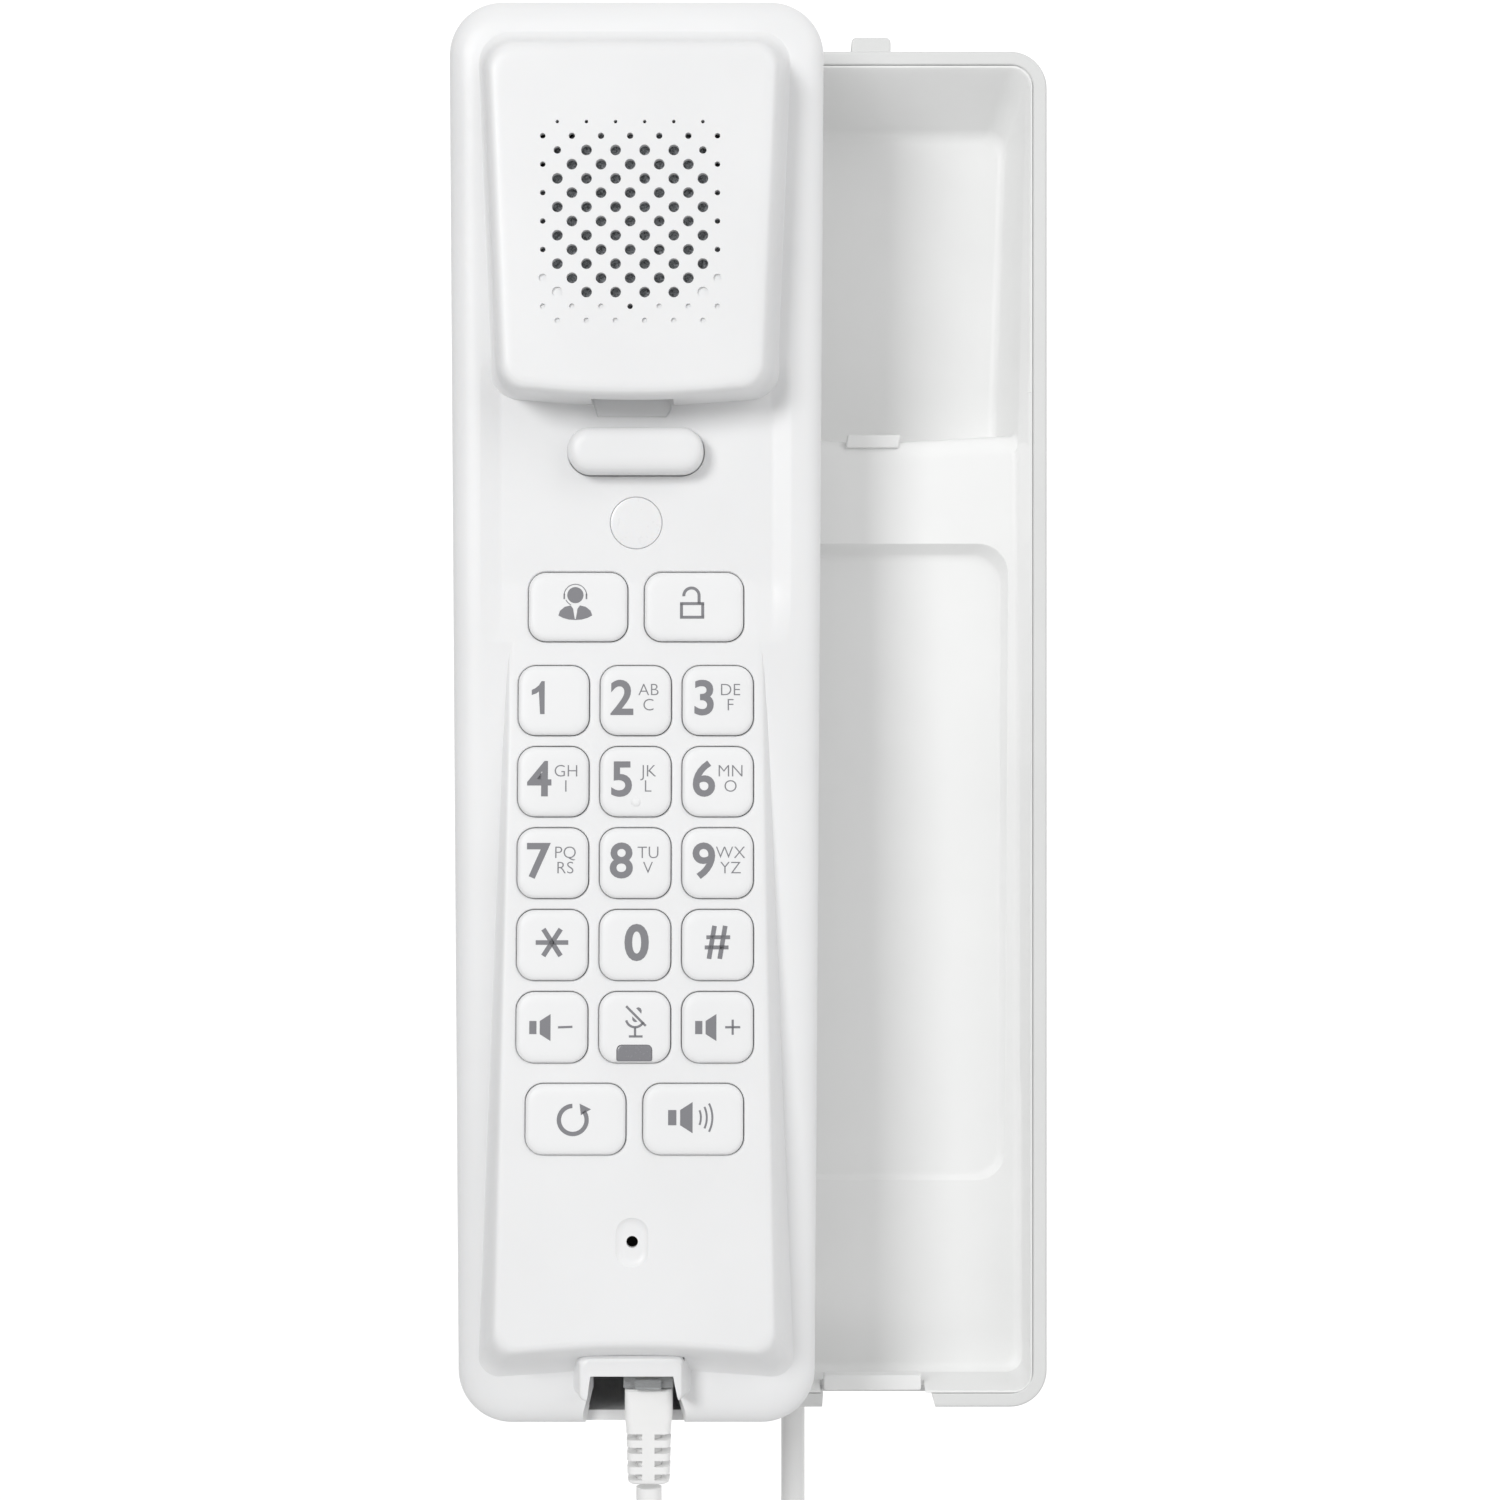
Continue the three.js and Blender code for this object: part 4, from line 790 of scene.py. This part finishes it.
def operator_icon():
    left = [(-3.0, -1.35), (-2.75, -0.6), (-2.0, 0.0), (-1.1, 0.22), (-0.72, -0.3), (-0.62, -1.0), (-0.42, -2.05),
            (-1.4, -1.98), (-2.3, -1.72)]
    right = [(-0.76 - x, z) for x, z in left]
    return [dot(-0.38, 1.82, 1.26), flat(left), flat(right), flat([(-0.5, -1.9), (-0.28, -1.9), (-0.39, -2.08)]),
            arc(-0.38, 1.76, 1.75, 0.14, 0, 180), arc(-0.38, 1.76, 1.6, 0.14, 205, 245),
            bar(-2.1, 1.2, -2.1, 2.05, 0.24), bar(1.34, 1.2, 1.34, 2.05, 0.24)]


def padlock_icon():
    line = 0.46
    lines = ((-2.15, 0.5, 1.6, 0.5), (-2.15, -1.62, 1.6, -1.62), (-1.92, -1.62, -1.92, 0.5),
             (1.37, -1.62, 1.37, 0.5), (0.8, 0.5, 0.8, 1.75))
    return [bar(*ends, line) for ends in lines] + [arc(-0.38, 1.75, 1.18, line, 0, 185)]


def mute_icon():
    return [bar(-1.28, 3.3, 1.73, 0.3, 0.36), arc(0.1, 1.5, 1.4, 0.36, 195, 335), bar(0.1, 0.1, 0.1, -1.25, 0.34),
            bar(-0.85, -1.3, 1.25, -1.3, 0.34),
            flat([(0.25, 3.0), (0.6, 3.15), (0.95, 2.98), (1.1, 2.6), (1.05, 2.15)]),
            flat([(-0.35, 1.75), (0.45, 0.98), (0.2, 0.88), (-0.12, 0.95), (-0.32, 1.2)])]


ICONS = {
    "operator": operator_icon(),
    "unlock": padlock_icon(),
    "mute": mute_icon(),
    "star": [bar(-2.5, 0.45, 2.5, 0.45, 0.7)] + [bar(-1.33 * k, -1.6, 1.33 * k, 2.5, 0.75) for k in (1, -1)],
    "hash": [bar(-1.95, -0.3, 1.7, -0.3, 0.6), bar(-1.7, 1.25, 1.95, 1.25, 0.6),
             bar(-1.3, -2.05, -0.45, 3.0, 0.72), bar(0.35, -2.05, 1.2, 3.0, 0.72)],
    "volume_down": horn(0, 0.05) + [bar(1.0, 0.08, 3.2, 0.16, 0.34)],
    "volume_up": horn(0, 0.05) + [bar(1.2, 0.1, 3.5, 0.1, 0.34), bar(2.35, -1.05, 2.35, 1.25, 0.34)],
    "redial": [arc(-0.37, 0, 2.12, 0.66, 92, 398, 48), flat([(0.66, 2.47), (0.86, 0.72), (2.4, 1.62)])],
    "speaker": horn(0.1, 0.35, 1.15) + [arc(-1.75, 0.35, radius, 0.3, -reach, reach)
                                        for radius, reach in ((2.95, 22), (3.85, 25), (4.7, 27))],
}
ONE = [(0.55, -2.1), (1.25, -2.1), (1.25, 3.0), (0.75, 3.0), (0.35, 2.35), (-0.2, 1.9), (-0.75, 1.65),
       (-0.75, 0.85), (-0.05, 1.1), (0.35, 1.4)]
LETTERS = {"2": ("AB", "C"), "3": ("DE", "F"), "4": ("GH", "I"), "5": ("JK", "L"), "6": ("MN", "O"),
           "7": ("PQ", "RS"), "8": ("TU", "V"), "9": ("WX", "YZ")}


def legend_parts(name):
    if name in ICONS:
        return ICONS[name]
    if name == "1":
        return [flat([(x - 2.6, z) for x, z in ONE])]
    if name == "0":
        return [glyphs("0", 0.3, 0.45, DIGIT, 0.03)]
    parts = [glyphs(name, -2.1, 0.45, DIGIT, 0.02)]
    for line, text in enumerate(LETTERS.get(name, ())):
        parts.append(glyphs(text, 2.0, 1.7 - 2.34 * line, LETTER, -0.012))
    return parts


def print_legend(name, x, z):
    vertices, faces = [], []
    for points, polygons in legend_parts(name):
        first = len(vertices)
        for dx, dz, top in points:
            level = on_face(LEGEND_TOP if top else LEGEND_LOW)
            vertices.append(on_handset(x + dx, z + dz, level(x + dx, z + dz)))
        faces += [tuple(v + first for v in face) for face in polygons]
    legend = new_object("legend_" + name, vertices, faces)
    legend.data.materials.append(LEGEND_GREY)
    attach(legend, "key_" + name)


for key_name, key_x, key_z, key_size in KEYS:
    key_cap(key_name, key_x, key_z, key_size)
    print_legend(key_name, key_x, key_z)


def nib():
    """The raised mark on the middle key."""
    x, z = next((x, z) for name, x, z, _ in KEYS if name == "5")
    profile = [(0.75, on_face(0.8)), (0.7, on_face(1.08)), (0.5, on_face(1.2)), (0.25, on_face(1.24))]
    finish_piece(turned("key_nib", x + 0.1, z - 3.1, profile, 24), KEY_WHITE, "key_5", "key_plastic")


nib()


# ---------- handset: plunger, lens, felt, jack ----------
def small_pieces():
    plunger = loft("plunger", [(plunger_outline(-i, 3.45, 12), h)
                               for i, h in ((-0.5, -1.1), (-0.5, 0.1), (0, 0.15), (0, 4.9), (0.12, 5.5),
                                            (0.4, 6.0), (0.85, 6.35), (1.5, 6.54), (2.4, 6.6))])
    finish_piece(plunger, HANDSET_WHITE, "hook_plunger", "handset_plastic", "hook_plunger", angle=40)
    lens = turned("lens", 0, LENS_Z, [(4.8, -1.1), (4.8, 0.3), (4.0, 0.35), (4.0, 2.1), (3.92, 2.2), (3.6, 2.28),
                                      (1.6, 2.32)], 72)
    finish_piece(lens, LENS_WHITE, "handset", "lens_plastic", "indicator_lens")
    cloth = turned("cloth", GRILLE_X, GRILLE_Z, [(15.8, 10.2), (15.9, 10.5), (15.9, 11.0), (15.6, 11.15),
                                                 (12, 11.2)], 64)
    finish_piece(cloth, FELT, "handset", "receiver_felt", "receiver_cloth")
    for k in range(4):
        x = JACK_X - 1.53 + CONTACT_PITCH * k
        wire = [HANDSET / MM + Vector((x, -h, JACK_MOUTH + dz))
                for h, dz in ((3.4, 8), (4.0, 4), (5.4, 0.6), (6.3, -0.4))]
        finish_piece(tube("jack_contact_%d" % (k + 1), wire, 0.35, 8), GOLD, "handset", "steel", weighted=False)


small_pieces()


def ribbed_boot(name, x, middle, top, length, body, node, place):
    """A plug's strain relief: a block that tapers, with slots cut in from both sides so that it bends."""
    rings = [(6.3, 4.4, 0, 0.8), (7.1, 5.2, 0.12, 1.1), (7.36, 5.6, 0.4, 1.1), (7.36, 5.6, 4.6, 1.1),
             (7.1, 5.5, 5.3, 1.1), (6.9, 5.4, 6.2, 1.1), (6.5, 5.2, length - 0.7, 1.1),
             (6.2, 4.9, length - 0.2, 1.1), (5.6, 4.4, length, 1.1)]
    boot = loft(name, [(rectangle(x - wide / 2, x + wide / 2, middle - thick / 2, middle + thick / 2, radius, 5),
                        top - down) for wide, thick, down, radius in rings], place)
    cuts = []
    for k in range(4):
        z = top - 7.0 - 2.07 * k
        for side in (-1, 1):
            a, b = sorted((x + side * 0.95, x + side * 5))
            cuts.append(prism("slot", corners_of(a, b, middle - 4, middle + 4), (z, z - 0.95), place))
    bore = prism("bore", circle(x, middle, 2.02), (top - 6.6, top - length - 1), place)
    core = prism("core", circle(x, middle, 1.98), (top - 6.5, top - length + 0.1), place)
    shape(boot, *cuts, bore)
    shape(boot, *joined(core))
    finish_piece(boot, CORD_WHITE, body, "cord_plastic", node)


def boots():
    """Both strain reliefs run down along Z, so their outlines lie in X and depth."""
    for node, body, place, origin, sign in (
            ("handset_plug_boot", "handset", lambda x, h, z: on_handset(x, z, h), HANDSET, -1),
            ("base_plug_boot", "base", lambda x, y, z: in_frame(x, z, y), (0, 0, 0), 1)):
        low, high = [[(v - o) / MM for v, o in zip(corner, origin)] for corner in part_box(node)]
        ribbed_boot(node[:-5] + "_strain_relief", (low[0] + high[0]) / 2, sign * (low[1] + high[1]) / 2, high[2],
                    high[2] - low[2], body, node, place)


boots()


# ---------- wall base ----------
HOUSING_CORNER, CRADLE_CORNER = 6, 3.4
INNER, INNER_TOP = BASE_HALF - RIM, BASE_TOP - RIM
CRADLE, CRADLE_TOP = INNER - 0.05, INNER_TOP - 0.05
OPEN, OPEN_TOP = CRADLE - 0.35, CRADLE_TOP - 0.35  # half sizes of the cradle's opening at the rim
RECESS_DEPTH, LEDGE_DEPTH, FOOT_DEPTH = 14, 2.6, 12  # behind the rim
FLOOR_Y, LEDGE_Y, FOOT_Y = RIM_Y + RECESS_DEPTH, RIM_Y + LEDGE_DEPTH, RIM_Y + FOOT_DEPTH
RECESS_HALF_TOP, RECESS_HALF_LOW = 22.75, 20.9  # of the recess's floor
RECESS_LEAN = 8.3  # of its top wall
LEDGE_TOP, LEDGE_BOW, LEDGE_END, PANEL_END = 47.0, 1.3, 30.4, -75.0
LEDGE_FOOT = 23.5  # half the width of the ledge's surface
PANEL_HALF = 22.2
PANEL_SINK_TOP, PANEL_SINK_END = 2.5, 0.5
CRADLE_WALL = 2.0
LUG_HALF, LUG_THICK = 3.25, 5.0
LUG_BACK = RIM_Y + 13.2
SCREWS = [(x, z) for x in (-20, 20) for z in (88, -72)]
KEYHOLES = (50, -50)


def rear_housing():
    body = loft("housing", [(rectangle(-BASE_HALF + i, BASE_HALF - i, -BASE_TOP + i, BASE_TOP - i,
                                       HOUSING_CORNER - 0.7 * i, 14, 6), y)
                            for i, y in ((0.9, 0), (0.35, -0.15), (0.08, -0.5), (0, -1.1), (0, RIM_Y + 0.9),
                                         (0.08, RIM_Y + 0.45), (0.3, RIM_Y + 0.13), (0.7, RIM_Y))], in_frame)
    inside = loft("inside", [(rectangle(-INNER - g, INNER + g, -INNER_TOP - g, INNER_TOP + g,
                                        HOUSING_CORNER - RIM + g, 12, 4), y)
                             for g, y in ((0, -2), (0, RIM_Y + 0.3), (0.05, RIM_Y + 0.1), (0.2, RIM_Y),
                                          (0.2, RIM_Y - 1))], in_frame)
    lug = loft("lug", [(rectangle(-LUG_HALF + i, LUG_HALF - i, BASE_TOP - 1, LUG_TOP - i, 0.9, 6), LUG_BACK - back)
                       for i, back in ((0.4, 0), (0.1, 0.15), (0, 0.4), (0, LUG_THICK - 0.4),
                                       (0.1, LUG_THICK - 0.15), (0.4, LUG_THICK))], in_frame)
    notch = prism("notch", [(-8.4, -BASE_TOP - 1), (10.4, -BASE_TOP - 1), (9.4, -INNER_TOP + 1),
                            (-8.1, -INNER_TOP + 1)], (RIM_Y - 1, RIM_Y + 12.5), in_frame)
    ways = []
    for node, spare, top, levels in (("cord_socket", 0.7, -INNER_TOP + 1, (-15.6, -2)),
                                     ("lan_socket", 1.2, -94.3, (-16.4, 1))):
        low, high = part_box(node)
        outline = corners_of(low[0] / MM - spare, high[0] / MM + spare, -BASE_TOP - 1, top)
        ways.append(prism("way", outline, levels, in_frame))
    shape(body, inside, *joined(lug), notch, *ways)
    cuts = []
    for z in KEYHOLES:
        head = turned("keyhole", 0, z, [(4.2, -4), (4.2, -0.3), (4.5, 0), (4.5, 1)], 40, in_frame)
        slot = loft("slot", [(rectangle(-2.2 - g, 2.2 + g, z, z + 8.4 + g, [0.2, 0.2, 2.1, 2.1], 8), y)
                             for g, y in ((0, -4), (0, -0.3), (0.3, 0), (0.3, 1))], in_frame)
        cuts += [head, slot]
    well = [(1.6, -5), (1.6, -1.9), (3.0, -1.9), (3.0, -0.25), (3.2, 0), (3.2, 1)]
    shape(body, *cuts, *[turned("well", x, z, well, 32, in_frame) for x, z in SCREWS])
    finish_piece(body, HOUSING_WHITE_PAINTED_SHADE, "base", "base_plastic", "rear_housing")


def sloped(offset):
    """The long space's floor: it leaves the ledge and slopes back towards the lower end."""
    return lambda x, z: LEDGE_Y + (FOOT_Y - LEDGE_Y) * (LEDGE_END - z) / (LEDGE_END + OPEN_TOP) + offset


def recess():
    """Room for the earpiece. Its lower end runs out over the ledge in a rounded shoulder."""
    profile = [(-1.2, -0.5, 3.4), (0.0, -0.45, 3.4), (0.25, -0.2, 3.4), (0.7, 0.0, 3.4), (LEDGE_DEPTH, 0.0, 3.3),
               (2.72, 0.0, 2.2), (2.98, 0.0, 1.2), (3.35, 0.0, 0.55), (3.8, 0.0, 0.18), (4.4, 0.0, 0.0),
               (12.6, 0.0, 0.0), (13.3, 0.22, 0.0), (13.75, 0.6, 0.0), (RECESS_DEPTH, 1.4, 0.0)]
    shoulder = LEDGE_FOOT + 0.35
    rings = []
    for depth, inset, drop in profile:
        share = max(depth, 0) / RECESS_DEPTH
        upper = OPEN + (RECESS_HALF_TOP - OPEN) * share - inset
        if depth < LEDGE_DEPTH:
            lower = OPEN + (shoulder - OPEN) * max(depth, 0) / LEDGE_DEPTH - inset
        else:
            below = (depth - LEDGE_DEPTH) / (RECESS_DEPTH - LEDGE_DEPTH)
            lower = shoulder + (RECESS_HALF_LOW - shoulder) * below - inset
        top = OPEN_TOP - RECESS_LEAN * share - inset
        low = LEDGE_TOP + LEDGE_BOW - drop + inset
        corner = 0.7 + 0.45 * drop + inset
        outline = [(-lower, low), (0, low - LEDGE_BOW), (lower, low), (upper, top), (-upper, top)]
        rings.append((rounded(outline, [corner, 60, corner, 3.4, 3.4], 10, 4), RIM_Y + depth))
    return loft("recess", rings, in_frame)


def ledge_cut(z0, z1, level, low_foot, high_foot, rounded_end):
    """Open space in front of the ledge or of the slope. Its slanted walls run into the floor in a fillet."""
    end = 2.6 if rounded_end else 0.2
    rings = []
    for inset, depth in ((-0.5, -1.5), (-0.45, 0.0), (-0.3, 0.22), (0.0, 0.5)):
        rings.append((OPEN - inset, OPEN - inset, inset, lambda x, z, y=RIM_Y + depth: y))
    for grow, rise in ((0.75, 1.0), (0.45, 0.6), (0.15, 0.28), (-0.25, 0.08), (-0.8, 0.0)):
        rings.append((low_foot + grow, high_foot + grow, 1.6 - grow, lambda x, z, r=rise: level(x, z) - r))
    outlines = []
    for low, high, inset, depth in rings:
        foot = z0 + (inset if rounded_end else 0)
        outline = rounded([(-low, foot), (low, foot), (high, z1), (-high, z1)], [end, end, 0.2, 0.2], 8, 14)
        outlines.append((outline, depth))
    return loft("ledge", outlines, in_frame)


def panel_sink():
    """The sunk panel. Its top edge is a wide bevel and its other edges are narrower ones."""
    def sink(z):
        return PANEL_SINK_TOP + (PANEL_SINK_END - PANEL_SINK_TOP) * (LEDGE_END - z) / (LEDGE_END - PANEL_END)
    rings = [(0.5, sloped(-0.6)), (0.12, sloped(-0.04))]
    for grow, share in ((0.0, 0.05), (-0.14, 0.2), (-0.8, 0.82), (-1.0, 0.93), (-1.3, 0.99), (-1.7, 1.0)):
        rings.append((grow, lambda x, z, share=share: sloped(0)(x, z) + sink(z) * share))
    return loft("panel", [(rectangle(-PANEL_HALF - g, PANEL_HALF + g, PANEL_END - g, LEDGE_END - 0.1 + 1.7 * g,
                                     [4.6, 4.6, 5, 5], 12, 4), y) for g, y in rings], in_frame)


def hollow_behind():
    """Makes the cradle a thin moulding: the room behind its ledge and slope, as a section swept across."""
    wall, floor = CRADLE_WALL, sloped(0)
    foot, back = -OPEN_TOP + wall, FLOOR_Y + wall + 1
    section = [(back, LEDGE_TOP - wall - 0.6), (LEDGE_Y + wall + 1, LEDGE_TOP - wall - 0.6),
               (LEDGE_Y + wall + 1, LEDGE_END + 4), (LEDGE_Y + wall + PANEL_SINK_TOP + 0.6, LEDGE_END - 2),
               (floor(0, PANEL_END) + wall + 0.5, PANEL_END), (floor(0, foot) + wall, foot), (back, foot)]
    return prism("hollow", section, (-OPEN + 3.4, OPEN - 3.4), lambda y, z, x: in_frame(x, z, y))


def cradle():
    back = FLOOR_Y + CRADLE_WALL
    body = loft("cradle_moulding", [(rectangle(-CRADLE + i, CRADLE - i, -CRADLE_TOP + i, CRADLE_TOP - i,
                                               CRADLE_CORNER, 12, 6), y)
                                    for i, y in ((0.3, back), (0, back - 0.3), (0, RIM_Y + 0.45),
                                                 (0.05, RIM_Y + 0.35), (0.15, RIM_Y + 0.3))], in_frame)
    ledge = ledge_cut(LEDGE_END - 0.25, LEDGE_TOP + 8, lambda x, z: LEDGE_Y, LEDGE_FOOT, LEDGE_FOOT, False)
    slope = ledge_cut(-OPEN_TOP, LEDGE_END + 0.25, sloped(0), 24.5, LEDGE_FOOT, True)
    shape(body, recess(), ledge, slope, panel_sink(), hollow_behind())
    tab_way = prism("way", rectangle(-3.6, 3.6, 38.6, 47.4, 0.2, 2), (LEDGE_Y + 1.2, LEDGE_Y + 6), in_frame)
    tongue_way = prism("way", rectangle(-8.6, 8.6, -CRADLE_TOP - 1, -CRADLE_TOP + 2.4, 0.2, 2),
                       (RIM_Y - 1, RIM_Y + 6.4), in_frame)
    bosses = [turned("boss", x, z, [(3.2, back - 1.5 if z > 0 else FOOT_Y - 1.2), (3.2, -3.4)], 32, in_frame)
              for x, z in SCREWS]
    bores = [turned("bore", x, z, [(1.6, -12.5), (1.6, 0)], 24, in_frame) for x, z in SCREWS]
    shape(body, tab_way, tongue_way, *joined(*bosses), *bores)
    finish_piece(body, CRADLE_WHITE_PAINTED_LIGHT, "base", "base_plastic", "cradle", angle=30)


def hook_tab():
    """The tab that holds the hung-up handset: a nose in the ledge, on a neck and a leg behind it."""
    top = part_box("handset_hook_tab")[1][2] / MM
    nose = loft("hook_tab", [(rounded([(-4.5 + i, top - 2.2 + i), (4.2 - i, top - 2.2 + i), (4.6 - i, top - i),
                                       (-4.1 + i, top - i)], 0.3, 4), LEDGE_Y + y)
                             for i, y in ((0.4, -0.4), (0.15, -0.32), (0, -0.05), (0, 1.2))], in_frame)
    stays = [prism(name, rectangle(-3.5, 3.5, top - down, top - 0.5, 0.2, 3), (LEDGE_Y + near, LEDGE_Y + 3.7),
                   in_frame) for name, down, near in (("neck", 2.2, 0.6), ("leg", 9.2, 2.3))]
    shape(nose, *joined(*stays))
    finish_piece(nose, CRADLE_WHITE_PAINTED_LIGHT, "base", "base_plastic", "handset_hook_tab")


def snap_tongue():
    low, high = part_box("bottom_snap_tongue")
    x, z0, z1, y0, y1 = high[0] / MM, low[2] / MM, high[2] / MM, low[1] / MM, high[1] / MM
    tongue = loft("snap_tongue", [(rectangle(-x + i, x - i, z0 + i, z1 - i, 0.35, 4), y)
                                  for i, y in ((0.3, y0), (0.08, y0 + 0.08), (0, y0 + 0.3), (0, y1 - 0.3),
                                               (0.3, y1))], in_frame)
    finish_piece(tongue, CRADLE_WHITE_PAINTED_LIGHT, "base", "base_plastic", "bottom_snap_tongue")


def socket_contacts():
    for node, count in (("lan_socket", 8), ("cord_socket", 4)):
        low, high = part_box(node)
        middle = (low[0] + high[0]) / 2 / MM
        for k in range(count):
            x = middle + (k - (count - 1) / 2) * CONTACT_PITCH
            wire = [Vector((x, high[1] / MM - back, low[2] / MM + up))
                    for back, up in ((1.6, 7), (2.2, 4), (4.2, 1.2))]
            contact = tube("%s_contact_%d" % (node, k + 1), wire, 0.3, 8)
            finish_piece(contact, GOLD, "base", "steel", weighted=False)


rear_housing()
cradle()
hook_tab()
snap_tongue()
socket_contacts()

# ---------- CAD nodes that are shown as they are ----------
KEPT = {STEEL: ["housing_screw_%d" % k for k in (1, 2, 3, 4)] + ["handset_screw_1", "handset_screw_2",
                                                                "balance_weight"],
        BOARD: ["main_board", "keypad_board"],
        DARK: ["lan_socket", "cord_socket", "handset_jack", "hook_switch", "receiver_speaker"],
        RUBBER: ["microphone_boot", "microphone"], SILICONE: ["keypad_mat"], CLEAR: ["base_plug", "handset_plug"]}
for kept_material, kept_names in KEPT.items():
    for kept_name in kept_names:
        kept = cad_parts[kept_name]
        kept.data.materials.clear()
        kept.data.materials.append(kept_material)
